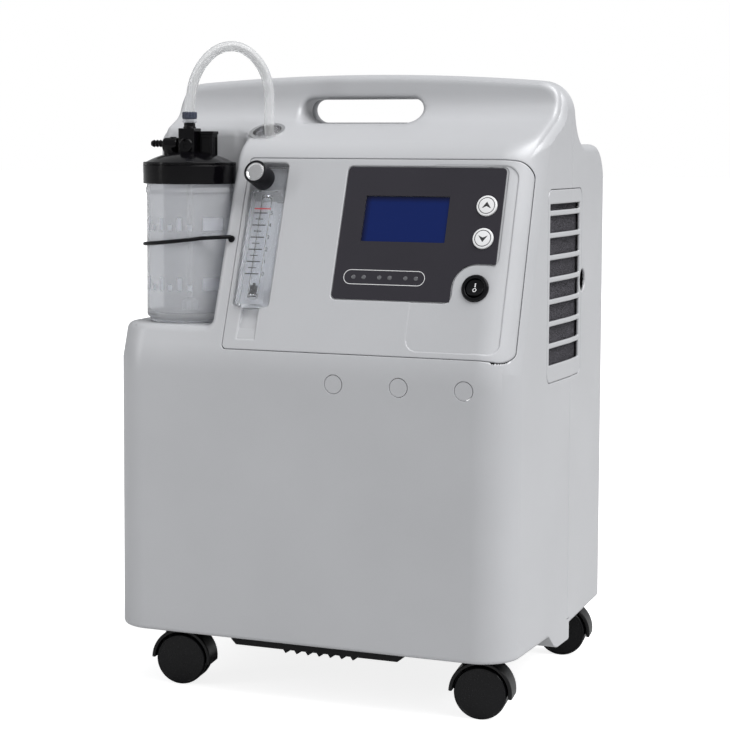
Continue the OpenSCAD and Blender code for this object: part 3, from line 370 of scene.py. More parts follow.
PAINTS = {
    "casing_silver": lambda n: silver_paint(n, (0.495, 0.5, 0.517)),
    "base_black": lambda n: moulded(n, (0.008, 0.008, 0.009), 0.5, 900, 0.03, 0.2, Specular_IOR_Level=0.2),
    "console_charcoal": lambda n: moulded(n, (0.027, 0.025, 0.032), 0.36, 1600, 0.006, 0.06, Specular_IOR_Level=0.25, Coat_Weight=0.1, Coat_Roughness=0.2),
    "display_blue": display,
    "led_lens": lambda n: moulded(n, (0.11, 0.11, 0.12), 0.25, 700, 0.01, 0.15, Coat_Weight=0.6),
    "circuit_board": board,
    "switch_black": lambda n: moulded(n, (0.003, 0.003, 0.004), 0.18, 1300, 0.005, 0.15, Specular_IOR_Level=0.16, Coat_Weight=0.12, Coat_Roughness=0.06),
    "button_white": lambda n: moulded(n, (0.80, 0.80, 0.81), 0.3, 1200, 0.005, 0.02, Coat_Weight=0.3),
    "clear_acrylic": lambda n: clear(n, (0.97, 0.98, 1.0), 0.02, 1.22, 0.04, 40, 0.02),
    "float_black": lambda n: moulded(n, (0.01, 0.01, 0.011), 0.3, 1200, 0.006, 0.1),
    "valve_brass": lambda n: metal(n, (0.70, 0.52, 0.22), 0.28, (1, 1, 6)),
    "knob_black": lambda n: moulded(n, (0.006, 0.006, 0.008), 0.4, 1500, 0.02, 0.2, Specular_IOR_Level=0.2),
    "bright_metal": lambda n: metal(n, (0.78, 0.78, 0.79), 0.2, (1, 1, 1), 1500, 0.02),
    "hose_clear": lambda n: clear(n, (0.97, 0.975, 0.98), 0.1, 1.2, 0.26, 50, 0.05),
    "nut_blue_grey": lambda n: moulded(n, (0.045, 0.052, 0.078), 0.3, 900, 0.01, 0.15, Specular_IOR_Level=0.3),
    "humidifier_black": lambda n: moulded(n, (0.002, 0.0018, 0.0025), 0.16, 1200, 0.004, 0.2, Specular_IOR_Level=0.14, Coat_Weight=0.12, Coat_Roughness=0.05),
    "bottle_clear": lambda n: clear(n, (0.93, 0.94, 0.965), 0.12, 1.12, 0.24, 30, 0.12),
    "strap_rubber": lambda n: moulded(n, (0.003, 0.003, 0.004), 0.45, 1400, 0.02, 0.2, Specular_IOR_Level=0.15),
    "foam_black": foam,
    "grille_grey": lambda n: moulded(n, (0.012, 0.012, 0.014), 0.5, 900, 0.02, 0.15),
    "screw_steel": lambda n: metal(n, (0.55, 0.55, 0.57), 0.3),
    "breaker_red": lambda n: moulded(n, (0.45, 0.012, 0.01), 0.3, 1100, 0.006, 0.08),
    "cast_alloy": lambda n: metal(n, (0.45, 0.46, 0.47), 0.45, (1, 1, 1), 350, 0.12, 0.15),
    "drawn_alloy": lambda n: metal(n, (0.58, 0.59, 0.61), 0.3, (8, 8, 0.5), 300, 0.02),
    "coil_copper": lambda n: metal(n, (0.70, 0.32, 0.17), 0.25, (1, 1, 1), 250, 0.02, 0.2),
    "hose_black": lambda n: moulded(n, (0.012, 0.012, 0.013), 0.5, 700, 0.03, 0.2),
    "caster_black": lambda n: moulded(n, (0.003, 0.003, 0.0035), 0.38, 1000, 0.02, 0.2, Specular_IOR_Level=0.3),
    "wheel_black": lambda n: moulded(n, (0.0035, 0.0035, 0.0045), 0.3, 1100, 0.008, 0.2, Specular_IOR_Level=0.25),
    "print_white": lambda n: moulded(n, (0.72, 0.72, 0.73), 0.5, 1500, 0.004, 0.05),
    "print_black": lambda n: moulded(n, (0.02, 0.02, 0.022), 0.5, 1500, 0.004, 0.1),
    "print_grey": lambda n: moulded(n, (0.12, 0.12, 0.13), 0.5, 1500, 0.004, 0.05),
    "print_red": lambda n: moulded(n, (0.50, 0.03, 0.04), 0.5, 1500, 0.004, 0.05),
    "scale_white": lambda n: moulded(n, (0.80, 0.81, 0.84), 0.4, 900, 0.006, 0.03),
    "frosted": lambda n: clear(n, (0.86, 0.87, 0.91), 0.4, 1.1, 0.3, 80, 0.05),
}
MATERIALS = {name: make(name + "_look") for name, make in PAINTS.items()}


def paint(piece, name):
    piece.data.materials.clear()
    piece.data.materials.append(MATERIALS[name])


def paint_nodes():
    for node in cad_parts.values():
        node.material_slots[0].material = MATERIALS[node.data.materials[0].name]


paint_nodes()
paint(hose, "hose_clear")


# ---------------------------------------------------------------- mesh helpers


def new_piece(name, verts, faces, body, slot=None, smooth=True):
    """A piece from points in metres, riding on a body."""
    mesh = bpy.data.meshes.new(name)
    mesh.from_pydata(verts, [], faces)
    mesh.validate()
    piece = bpy.data.objects.new(name, mesh)
    scene.collection.objects.link(piece)
    if smooth:
        mesh.polygons.foreach_set("use_smooth", [True] * len(mesh.polygons))
    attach(piece, body)
    return piece


# ---------------------------------------------------------------- distance fields


def smax(a, b, k):
    """Intersection with a rounded edge about k long."""
    h = np.maximum(k - np.abs(a - b), 0) / k
    return np.maximum(a, b) + h * h * k * 0.25


def smin(a, b, k):
    return -smax(-a, -b, k)


def rmax(a, b, r):
    """Intersection of two square faces with an edge of radius r."""
    return np.minimum(np.maximum(a, b), -r) + np.hypot(np.maximum(a + r, 0), np.maximum(b + r, 0))


def rmin(a, b, r):
    return -rmax(-a, -b, r)


def box2(x, y, x0, x1, y0, y1, r):
    """Rectangle with round corners, in its own plane."""
    u = np.abs(x - (x0 + x1) / 2) - (x1 - x0) / 2
    v = np.abs(y - (y0 + y1) / 2) - (y1 - y0) / 2
    return rmax(u, v, r)


def grid_lines(lo, hi, step, bands=()):
    """Grid lines a step apart, and closer inside each band (from, to, step)."""
    coarse = 1.0
    step, bands = step * coarse, [(a, b, f * coarse) for a, b, f in bands]
    out = [lo]
    while out[-1] < hi:
        x = out[-1]
        s = step
        for a, b, f in bands:
            if a <= x < b:
                s = min(s, f)
            elif x < a < x + s:
                s = min(s, max(a - x, f))
        out.append(x + s)
    return np.array(out)


CORNERS = [(i, j, k) for i in (0, 1) for j in (0, 1) for k in (0, 1)]
CELL_EDGES = [(a, b) for a in range(8) for b in range(a + 1, 8)
              if sum(abs(p - q) for p, q in zip(CORNERS[a], CORNERS[b])) == 1]


def gradient(field, p, eps=0.02):
    """Unit gradient of a field at points."""
    g = np.empty_like(p)
    for axis in range(3):
        a, b = p.copy(), p.copy()
        a[:, axis] += eps
        b[:, axis] -= eps
        g[:, axis] = field(*a.T) - field(*b.T)
    return g / np.maximum(np.linalg.norm(g, axis=1, keepdims=True), 1e-12)


def contour(field, xs, ys, zs):
    """Vertices and quads of a field's zero surface, on a grid of uneven lines."""
    d = np.empty((len(xs), len(ys), len(zs)), np.float32)
    for i, x in enumerate(xs):
        d[i] = field(np.full((1, 1), x), ys[:, None], zs[None, :])
    inside = d < 0
    views = [inside[i:len(xs) - 1 + i, j:len(ys) - 1 + j, k:len(zs) - 1 + k] for i, j, k in CORNERS]
    some, every = views[0].copy(), views[0].copy()
    for v in views[1:]:
        some |= v
        every &= v
    cells = np.argwhere(some & ~every)
    index = np.full(some.shape, -1, np.int32)
    index[tuple(cells.T)] = np.arange(len(cells))
    axes = (xs, ys, zs)
    place = [np.stack([axes[a][cells[:, a] + c[a]] for a in range(3)], 1) for c in CORNERS]
    value = [d[cells[:, 0] + c[0], cells[:, 1] + c[1], cells[:, 2] + c[2]].astype(float) for c in CORNERS]
    total, count = np.zeros((len(cells), 3)), np.zeros(len(cells))
    for a, b in CELL_EDGES:
        cross = (value[a] < 0) != (value[b] < 0)
        t = np.where(cross, value[a] / np.where(cross, value[a] - value[b], 1), 0)[:, None]
        total += np.where(cross[:, None], place[a] + t * (place[b] - place[a]), 0)
        count += cross
    p = total / count[:, None]
    low, high = place[0], place[7]
    for _ in range(4):
        value_now = field(*p.T)
        g = gradient(field, p)
        step = np.clip(value_now, -1, 1)[:, None] * g
        p = np.clip(p - step, low - 0.1 * (high - low), high + 0.1 * (high - low))
    quads = []
    for axis in range(3):
        b, c = [(1, 2), (2, 0), (0, 1)][axis]
        first = np.take(inside, range(inside.shape[axis] - 1), axis)
        second = np.take(inside, range(1, inside.shape[axis]), axis)
        at = np.argwhere(first != second)
        at = at[(at[:, b] > 0) & (at[:, c] > 0) & (at[:, b] < inside.shape[b] - 1) & (at[:, c] < inside.shape[c] - 1)]
        flip = ~first[tuple(at.T)]
        ring = []
        for db, dc in ((1, 1), (0, 1), (0, 0), (1, 0)):
            q = at.copy()
            q[:, b] -= db
            q[:, c] -= dc
            ring.append(index[tuple(q.T)])
        ring = np.stack(ring, 1)
        ring[flip] = ring[flip][:, ::-1]
        quads.append(ring)
    return p, np.concatenate(quads)


def shell_piece(name, field, xs, ys, zs, body, slot, nodes=(), place=None, flat=0.05):
    """A piece meshed from a field. Flat stretches are merged, and shading follows the field."""
    p, quads = contour(field, xs, ys, zs)
    normal = gradient(field, p)
    same = np.ones(len(quads), bool)
    for i in range(1, 4):
        same &= (normal[quads[:, 0]] * normal[quads[:, i]]).sum(1) > math.cos(math.radians(flat))
    bm = bmesh.new()
    verts = [bm.verts.new(v) for v in p]
    bm.verts.ensure_lookup_table()
    flat_faces = set()
    for q, s in zip(quads.tolist(), same):
        if len(set(q)) < 4:
            continue
        try:
            f = bm.faces.new([verts[i] for i in q])
        except ValueError:
            continue
        if s:
            flat_faces.add(f)
    edges = [e for e in bm.edges if len(e.link_faces) == 2 and all(f in flat_faces for f in e.link_faces)]
    inner = [v for v in bm.verts if v.link_faces and all(f in flat_faces for f in v.link_faces)]
    bmesh.ops.dissolve_limit(bm, angle_limit=math.radians(0.1), verts=inner, edges=edges)
    loose = [v for v in bm.verts if not v.link_faces]
    bmesh.ops.delete(bm, geom=loose, context="VERTS")
    bmesh.ops.triangulate(bm, faces=[f for f in bm.faces if len(f.verts) > 4])
    mesh = bpy.data.meshes.new(name)
    bm.to_mesh(mesh)
    bm.free()
    co = np.empty(len(mesh.vertices) * 3, np.float32)
    mesh.vertices.foreach_get("co", co)
    co = co.reshape(-1, 3).astype(float)
    normal = gradient(field, co)
    turn = place or Matrix.Identity(4)
    rot = np.array(turn.to_3x3())
    mesh.vertices.foreach_set("co", ((co @ rot.T + np.array(turn.translation)) * MM).ravel())
    mesh.polygons.foreach_set("use_smooth", [True] * len(mesh.polygons))
    mesh.normals_split_custom_set_from_vertices((normal @ rot.T).tolist())
    mesh.update()
    piece = bpy.data.objects.new(name, mesh)
    scene.collection.objects.link(piece)
    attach(piece, body)
    if nodes:
        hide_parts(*nodes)
    paint(piece, slot)
    return piece


# ---------------------------------------------------------------- the casing's shape, in mm

FRONT_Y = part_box("front_shell")[0].y / MM
SEAM_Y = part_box("rear_shell")[0].y / MM
REAR_Y = -FRONT_Y
SKIRT_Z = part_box("rear_shell")[0].z / MM
TOP_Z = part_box("rear_shell")[1].z / MM
HALF_FRONT = 202.5
FLARE = math.radians(2.0)
TAPER = math.radians(2.2)
LEAN = math.radians(20.0)
CREASE_Z = 327.5
RAMP_Z = 528.0
RAMP_TOP_Z = 563.0
HANDLE_Y = -9.0
HANDLE_BACK_Y = 29.0
RAMP_Y = FRONT_Y + (RAMP_Z - CREASE_Z) * math.tan(LEAN)
RAMP_TILT = math.atan((RAMP_TOP_Z - RAMP_Z) / (HANDLE_Y - RAMP_Y))
REAR_TOP_Z = 532.0
WALL = 3.0
GAP = 0.5


def slope_y(v, depth=0.0):
    return FRONT_Y + v * math.sin(LEAN) + depth * math.cos(LEAN)


def slope_z(v, depth=0.0):
    return CREASE_Z + v * math.cos(LEAN) - depth * math.sin(LEAN)


SLOPE = Matrix.Translation((0, FRONT_Y, CREASE_Z)) @ Matrix.Rotation(-LEAN, 4, "X")


def side_front(x, y):
    return (np.abs(x) - HALF_FRONT - (y - FRONT_Y) * math.tan(FLARE)) * math.cos(FLARE)


def side_rear(x, y):
    at_seam = HALF_FRONT + (SEAM_Y - FRONT_Y) * math.tan(FLARE)
    return (np.abs(x) - at_seam + (y - SEAM_Y) * math.tan(TAPER)) * math.cos(TAPER)


def top(x, z):
    """Arched top of the handle."""
    return z - TOP_Z + 7.0 * (x / 180.0) ** 2


def fade(k, front, side):
    """Rounding k, falling away to nothing where the side wall is the nearest face."""
    return k * np.clip(1 + (front - side) / 12, 0.02, 1)


def front_body(x, y, z):
    """Front casing's outside, open-ended below and behind."""
    side = side_front(x, y)
    front = FRONT_Y - y + 0 * z
    lean = (z - CREASE_Z) * math.sin(LEAN) - (y - FRONT_Y) * math.cos(LEAN)
    ramp = (z - RAMP_Z) * math.cos(RAMP_TILT) - (y - RAMP_Y) * math.sin(RAMP_TILT)
    handle = (HANDLE_Y - y) * math.cos(0.08) + (z - RAMP_TOP_Z) * math.sin(0.08)
    ramp_handle = smin(ramp, handle, 16)
    middle = np.maximum(np.maximum(front, lean), ramp_handle)
    lower = smax(rmax(front, side, 36), rmax(lean, side, 36), fade(5, middle, side))
    upper = smax(ramp_handle, side, 9)
    body = smax(lower, upper, fade(11, middle, side))
    crown = rmax(top(x, z), side, 28)
    return smax(body, crown, fade(9, np.maximum(middle, top(x, z)), side))


def rear_body(x, y, z):
    """Rear casing's outside, open-ended below and in front."""
    side = side_rear(x, y)
    rear = y - REAR_Y + 0 * z
    flat = rmax(rear, z - REAR_TOP_Z, 40)
    body = rmin(flat, y - HANDLE_BACK_Y, 46)
    crown = rmax(top(x, z), side, 28)
    return np.maximum(np.maximum(smax(body, side, 6), rmax(rear, side, 8)), smax(crown, body, 9))


NICHE_X = -100.0
NICHE_Y = -46.0
SHELF_Z = 357.5


def niche(x, y, z):
    """Space for the bottle: negative inside."""
    plan = rmax(x - NICHE_X, y - NICHE_Y, 26)
    return rmax(plan, SHELF_Z - z, 7)


def hand_hole(x, z):
    return box2(x, z, -64, 64, 553, 576, 11.49)


PANEL = (-85.0, 199.0, 11.0, 202.0, 14.0)


def panel_plan(x, y, z, grow):
    """Outline of the sloping panel, grown; negative inside."""
    v = (y - FRONT_Y) * math.sin(LEAN) + (z - CREASE_Z) * math.cos(LEAN)
    x0, x1, v0, v1, r = PANEL
    return box2(x, v, x0 - grow, x1 + grow, v0 - grow, v1 + grow, np.where(x < 50, 4.5, r))


COVER = (-54.0, 58.0, 306.5, 489.0, 10.0)


def cover_plan(y, z, grow):
    y0, y1, z0, z1, r = COVER
    return box2(y, z, y0 - grow, y1 + grow, z0 - grow, z1 + grow, r)


def cut(d, hole, k):
    """Takes a hole out, with its edge rounded."""
    return smax(d, -hole, k)






# ---------------------------------------------------------------- the casing's other pieces


def lobe(x, y, z, side):
    """Skirt lobes that hang below the casing's sides at the seam."""
    front_edge = (-y - 46 + (66 - z) * 1.35) * 0.6
    outline = smax(smax(45 - z, front_edge, 5), y - 23.5, 3)
    return np.maximum(np.maximum(outline, z - np.where(y > SEAM_Y - 0.5, 65.4, 70)), np.maximum(side, -side - 24))


def plug_rings(x, z):
    return np.minimum.reduce([np.hypot(x - at, z - 309.5) for at in PLUG_X])


def scoop(y, z):
    """Fingertip hollow behind the vent cover."""
    return np.hypot(y - 64, z - 397.75) - 11


def front_shell(x, y, z):
    body = front_body(x, y, z)
    side = side_front(x, y) + 0 * z
    hollow = np.maximum(np.maximum(body + WALL, z - 550), WALL - niche(x, y, z))
    solid = cut(smax(body, SKIRT_Z - z, 4), niche(x, y, z), 7)
    d = np.maximum(solid, -hollow)
    d = smax(d, y - SEAM_Y, 1.0)
    d = np.minimum(d, np.maximum(lobe(x, y, z, side), body))
    d = cut(d, hand_hole(x, z) + 0 * y, 6)
    d = cut(d, np.maximum(panel_plan(x, y, z, GAP), -body - 12), 1.0)
    d = cut(d, np.maximum(cover_plan(y, z, GAP), 190 - x), 1.0)
    d = cut(d, np.maximum(plug_rings(x, z) - 8.9, y + 150), 0.6)
    port = np.hypot(x + 84, y + 52 + (z - 545) * math.tan(RAMP_TILT))
    d = cut(d, np.maximum(port - 16, 530 - z), 1)
    strap = np.hypot(x + 92, (y - slope_y(119.3)) * math.sin(LEAN) + (z - slope_z(119.3)) * math.cos(LEAN))
    return cut(d, np.maximum(strap - 2.4, y + 85), 1)


def rear_shell(x, y, z):
    body = rear_body(x, y, z)
    hollow = np.maximum(body + WALL, z - REAR_TOP_Z + WALL)
    solid = smax(body, SKIRT_Z - z, 4)
    d = np.maximum(solid, -hollow)
    well = box2(x, z, -28, 76, 95, 141, 6)
    d = np.minimum(d, np.maximum(np.maximum(well - 3, REAR_Y - 11 - y), np.maximum(y - REAR_Y + 1, body)))
    d = smax(d, SEAM_Y - y, 1.0)
    d = cut(d, np.maximum(well, REAR_Y - 8 - y), 1.2)
    d = cut(d, hand_hole(x, z) + 0 * y, 6)
    d = cut(d, np.maximum(cover_plan(y, z, GAP), 190 - x), 1.0)
    d = cut(d, np.maximum(scoop(y, z), 204.3 - x), 1.6)
    d = cut(d, np.maximum(z - 66, y - 24), 1.0)
    d = cut(d, np.maximum(box2(x, z, -6.4, 22.4, 107.6, 128.4, 2), REAR_Y - 14 - y), 0.5)
    d = cut(d, np.maximum(np.hypot(x - 55, z - 118) - 6.3, REAR_Y - 14 - y), 0.5)
    for row in range(7):
        z0 = GRILLE_Z - 28 + 8.4 * row
        for x0 in (GRILLE_X - 65, GRILLE_X + 2):
            d = cut(d, np.maximum(box2(x, z, x0, x0 + 63, z0, z0 + 5, 2.4), REAR_Y - 14 - y), 1.5)
    for sx, sz in SCREWS:
        around = np.hypot(x - sx, z - sz)
        d = cut(d, np.maximum(around - 4.4, REAR_Y - 2.6 - y), 0.8)
        d = cut(d, np.maximum(around - 2.1, REAR_Y - 20 - y), 0.2)
    return d


def console_plan(x, v, grow):
    """Outline of the dark console, grown, with its notch for the rocker."""
    plate = box2(x, v, 20 - grow, 177 + grow, 64 - grow, 194 + grow, 4 + grow)
    ring = np.hypot(x - ROCKER[0], v - ROCKER[1]) - 23.3 + grow
    corner = rmin(x - ROCKER[0] + 23.3 - grow, v - ROCKER[1] - 23.3 + grow, 0.1)
    notch = np.minimum(ring, smax(np.minimum(ROCKER[0] - x, 1e3), v - ROCKER[1] - 23.3 + grow, 0.1))
    notch = np.minimum(notch, smax(ROCKER[0] - 23.3 + grow - x, v - ROCKER[1], 0.1))
    return smax(plate, -notch, 9) + 0 * corner


def front_panel(x, depth, v):
    y, z = slope_y(v, depth), slope_z(v, depth)
    body = front_body(x, y, z)
    d = np.maximum(body, -body - WALL)
    meter = box2(x, v, -80.5, -43.5, 53, 197, 4)
    tray = np.maximum(np.maximum(meter - 2, depth - 14), 1 - depth)
    backing = np.maximum(np.maximum(box2(x, v, 16, 189, 38, 198, 8), depth - 5), 1.5 - depth)
    behind = np.maximum(np.maximum(box2(x, v, -76, -48, 14, 60, 6), depth - 12), 1.5 - depth)
    d = np.minimum(np.minimum(d, tray), np.maximum(np.minimum(backing, behind), body))
    x0, x1, v0, v1, _ = PANEL
    d = smax(d, box2(x, v, x0, x1, v0, v1, np.where(x < 50, 4.5, 14.0)), 1.0)
    d = cut(d, np.maximum(meter, depth - 12), 2.2)
    fade_in = np.clip((x - 148) / 34, 0, 1) ** 1.5
    field = box2(x, v, 100, 187, 17, 196, 11)
    d = cut(d, np.maximum(field, -body - 1.3 * fade_in), 1.8)
    d = cut(d, np.maximum(console_plan(x, v, 0.9), -body - 1.5), 1.6)
    groove = np.hypot((x + 62) * 1.0, 0) - 8.5
    slant = np.maximum(groove, np.maximum(v - 56, 22 - v))
    d = cut(d, np.maximum(slant, depth - 7 * np.clip((v - 22) / 32, 0, 1) ** 1.3), 3)
    d = cut(d, box2(x, v, 41.9, 124.6, 120.9, 165.1, 1) + 0 * depth, 0.3)
    d = cut(d, np.hypot(x - ROCKER[0], v - ROCKER[1]) - 10.0, 0.3)
    for key in KEYS:
        d = cut(d, np.hypot(x - key[0], v - key[1]) - 10.4, 0.3)
    for at in LED_X:
        d = cut(d, np.hypot(x - at, v - 85.5) - 3.2, 0.2)
    return cut(d, np.maximum(np.hypot(x + 66.5, v - 180) - 3.4, -depth), 0.3)


def filter_cover(x, y, z):
    outer = np.maximum(side_front(x, y), side_rear(x, y)) + 0 * z
    d = np.maximum(outer, -outer - WALL)
    d = np.maximum(d, -x)
    d = smax(d, cover_plan(y, z, 0), 1.2)
    for row in range(7):
        middle = 331 + 20.9 * row
        d = cut(d, box2(y, z, -48, 50, middle - 8, middle + 8, 1) + 0 * x, 1.6)
    d = cut(d, box2(y, z, -48, 50, 469.5, 475.5, 1) + 0 * x, 1.6)
    return cut(d, np.maximum(scoop(y, z), 204.3 - x), 1.6)


SIDE_BANDS = [(-210, -194, 1.0), (194, 210, 1.0), (-194, -166, 2.2), (166, 194, 2.2)]


def build_front_shell():
    xs = grid_lines(-211, 211, 5, SIDE_BANDS + [(-104, -95, 0.8), (-94, -90, 1), (-87, -83.5, 0.35), (185, 200.5, 0.6),
        (-66, -50, 1), (50, 66, 1), (-128, -104, 2), (-82, -67, 1.6)] + [(at - 9.8, at + 9.8, 0.8) for at in PLUG_X])
    ys = grid_lines(-160, 24.6, 3.5, [(-159, -150, 0.9), (-150, -84, 1.6), (-84, -4, 1.8), (-155, -152, 0.4), (-91, -86.5, 0.4),
        (-56, -52, 0.45), (-50, -42, 0.8), (-12, -2, 1), (15.8, 18.6, 0.35), (22, 24.6, 0.6)])
    zs = grid_lines(42, 602, 5, [(43, 67, 1), (299, 320, 0.8), (320, 332, 1.5), (336, 340, 0.35), (340, 352, 0.8),
        (352, 366, 1), (366, 503, 2.7), (503, 516, 0.8), (515.5, 519, 0.35), (519, 566, 1.5), (549, 557, 0.8), (572, 580, 0.8),
        (580, 602, 1.3), (305, 308, 0.4), (488, 491, 0.4), (437, 442, 1)])
    shell_piece("front_casing", front_shell, xs, ys, zs, "casing", "casing_silver", ["front_shell"])


def build_rear_shell():
    xs = grid_lines(-211, 211, 5, SIDE_BANDS + [(-66, -50, 1), (50, 66, 1), (-32, 80, 2), (-48, -43, 0.8), (81, 88, 0.8), (17, 24, 0.8),
        (-184, -172, 0.7), (172, 184, 0.7), (-30, -25, 0.7), (73, 78, 0.7), (48, 62, 0.8)])
    ys = grid_lines(15.6, 160, 4, [(16, 19, 0.35), (22, 26, 0.5), (26, 34, 1), (34, 80, 2), (56, 60, 0.45), (60, 78, 1), (110, 143, 2.5),
        (143, 160, 0.7)])
    zs = grid_lines(57, 602, 5, [(58, 68, 1), (86, 98, 0.7), (98, 138, 1.6), (138, 144, 0.7), (204, 266, 0.8), (283, 297, 0.8),
        (463, 477, 0.8), (384, 412, 1), (305, 308, 0.4), (488, 491, 0.4), (480, 531, 2.5), (528, 535, 1), (535, 602, 1.6), (580, 602, 1.2)])
    shell_piece("rear_casing", rear_shell, xs, ys, zs, "casing", "casing_silver", ["rear_shell"])


def build_front_panel():
    xs = grid_lines(-86.6, 200.6, 2.5, [(-86.6, -79, 0.4), (-78, -50, 1), (-48, -42, 0.4), (17, 22, 0.45), (22, 176, 1.2), (174, 189, 0.5),
        (189, 200.6, 0.6)])
    ys = grid_lines(-1.6, 32, 1.1, [(-0.7, 2.4, 0.4), (2.4, 14, 0.6)])
    zs = grid_lines(9.4, 203.6, 2.5, [(9.4, 17, 0.4), (17, 30, 0.7), (50, 58, 0.5), (61, 67, 0.45), (67, 190, 1.2), (190, 203.6, 0.45)])
    shell_piece("sloping_panel", front_panel, xs, ys, zs, "casing", "casing_silver", ["front_panel"], SLOPE)


def build_filter_cover():
    xs = grid_lines(200, 211, 0.8)
    ys = grid_lines(-56, 60, 3, [(-56, -45, 0.5), (15, 20, 0.8), (47, 60, 0.5)])
    zs = grid_lines(304.5, 491, 0.7)
    shell_piece("vent_cover", filter_cover, xs, ys, zs, "cover", "casing_silver", ["filter_cover"])


PLUG_X = (31.5, 96.0, 159.0)
GRILLE_X, GRILLE_Z = 20.0, 235.0
SCREWS = [(sx, sz) for sx in (-178, 178) for sz in (92, 290, 470)]
ROCKER = (160.0, 78.0)
KEYS = ((162.0, 157.0), (162.0, 125.5))
LED_X = [39.5 + 25.9 * (i // 2) + 10.3 * (i % 2) for i in range(6)]
build_front_shell()
build_rear_shell()
build_front_panel()
build_filter_cover()


# ---------------------------------------------------------------- turned and printed pieces


def rounded(points, steps=4):
    """Closed outline of (across, along, corner radius) points, with its corners rounded."""
    out = []
    count = len(points)
    for i, (x, y, r) in enumerate(points):
        here = Vector((x, y))
        if not r:
            out.append(here)
            continue
        before = Vector(points[i - 1][:2]) - here
        after = Vector(points[(i + 1) % count][:2]) - here
        turn = before.angle(after)
        reach = min(r / math.tan(turn / 2), before.length * 0.49, after.length * 0.49)
        radius = reach * math.tan(turn / 2)
        middle = here + (before.normalized() + after.normalized()).normalized() * radius / math.sin(turn / 2)
        a, b = here + before.normalized() * reach - middle, here + after.normalized() * reach - middle
        sweep = a.angle_signed(b)
        for step in range(steps + 1):
            out.append(middle + Matrix.Rotation(-sweep * step / steps, 2) @ a)
    return out


def finish_mesh(name, bm, place, body, paint_name, nodes, sharp):
    bmesh.ops.recalc_face_normals(bm, faces=bm.faces)
    mesh = bpy.data.meshes.new(name)
    bm.to_mesh(mesh)
    bm.free()
    mesh.transform(Matrix.Diagonal((MM, MM, MM, 1)) @ place)
    mesh.polygons.foreach_set("use_smooth", [True] * len(mesh.polygons))
    mesh.set_sharp_from_angle(angle=math.radians(sharp))
    piece = bpy.data.objects.new(name, mesh)
    scene.collection.objects.link(piece)
    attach(piece, body)
    if nodes:
        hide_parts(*nodes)
    paint(piece, paint_name)
    return piece


def turned(name, profile, place, body, paint_name, nodes=(), steps=96, teeth=None, sharp=32, span=None):
    """Solid of revolution about local Z. Teeth are (count, depth, from radius, from height, to height)."""
    outline = rounded(profile)
    bm = bmesh.new()
    first, last = span or (0, 360)
    rings = []
    for k in range(steps + (1 if span else 0)):
        a = math.radians(first + (last - first) * k / steps)
        ring = []
        for r, h in outline:
            if teeth and r > teeth[2] and teeth[3] < h < teeth[4]:
                r -= teeth[1] * (0.5 - 0.5 * math.cos(a * teeth[0]))
            ring.append(bm.verts.new((r * math.cos(a), r * math.sin(a), h)))
        rings.append(ring)
    count = len(outline)
    pairs = list(zip(rings, rings[1:])) if span else list(zip(rings, rings[1:] + rings[:1]))
    for ring, after in pairs:
        for i in range(count):
            j = (i + 1) % count
            bm.faces.new((ring[i], ring[j], after[j], after[i]))
    if span:
        bm.faces.new(rings[0])
        bm.faces.new(rings[-1][::-1])
    bmesh.ops.remove_doubles(bm, verts=bm.verts, dist=1e-5)
    return finish_mesh(name, bm, place, body, paint_name, nodes, sharp)


def printed(name, outlines, place, body, paint_name, height=0.05):
    """A printed layer: closed outlines in local X and Y, a little proud of Z = 0. An outline is (points, holes)."""
    bm = bmesh.new()
    for points, inner in outlines:
        if inner:
            low_out = [bm.verts.new((x, y, -height)) for x, y in points]
            low_in = [bm.verts.new((x, y, -height)) for x, y in inner]
            high_out = [bm.verts.new((x, y, height)) for x, y in points]
            high_in = [bm.verts.new((x, y, height)) for x, y in inner]
            n = len(points)
            for i in range(n):
                j = (i + 1) % n
                bm.faces.new((high_out[i], high_out[j], high_in[j], high_in[i]))
                bm.faces.new((low_out[i], low_out[j], high_out[j], high_out[i]))
                bm.faces.new((low_in[j], low_in[i], high_in[i], high_in[j]))
                bm.faces.new((low_out[j], low_out[i], low_in[i], low_in[j]))
        else:
            low = [bm.verts.new((x, y, -height)) for x, y in points]
            high = [bm.verts.new((x, y, height)) for x, y in points]
            n = len(points)
            bm.faces.new(high)
            bm.faces.new(low[::-1])
            for i in range(n):
                j = (i + 1) % n
                bm.faces.new((low[i], low[j], high[j], high[i]))
    return finish_mesh(name, bm, place, body, paint_name, (), 30)


def circle(cx, cy, r, n=48):
    return [(cx + r * math.cos(math.tau * i / n), cy + r * math.sin(math.tau * i / n)) for i in range(n)]


def bar(x0, x1, y0, y1):
    return [(x0, y0), (x1, y0), (x1, y1), (x0, y1)]


def stadium(x0, x1, cy, r, n=16):
    ends = [(x1 - r, -90), (x0 + r, 90)]
    return [(cx + r * math.cos(math.radians(a + 180 * i / n)), cy + r * math.sin(math.radians(a + 180 * i / n)))
            for cx, a in ends for i in range(n + 1)]


def on_slope(x, v, out=0.0):
    """Place on the sloping panel, local Z pointing out of it."""
    return SLOPE @ Matrix.Translation((x, -out, v)) @ Matrix.Rotation(math.pi / 2, 4, "X")


def upright(x, y, z=0.0):
    return Matrix.Translation((x, y, z))


def small_field(name, field, low, high, step, body, paint_name, slot, nodes=(), place=None):
    axes = [grid_lines(a, b, step) for a, b in zip(low, high)]
    piece = shell_piece(name, field, *axes, body, slot, nodes, place)
    paint(piece, paint_name)
    return piece


# ---------------------------------------------------------------- console


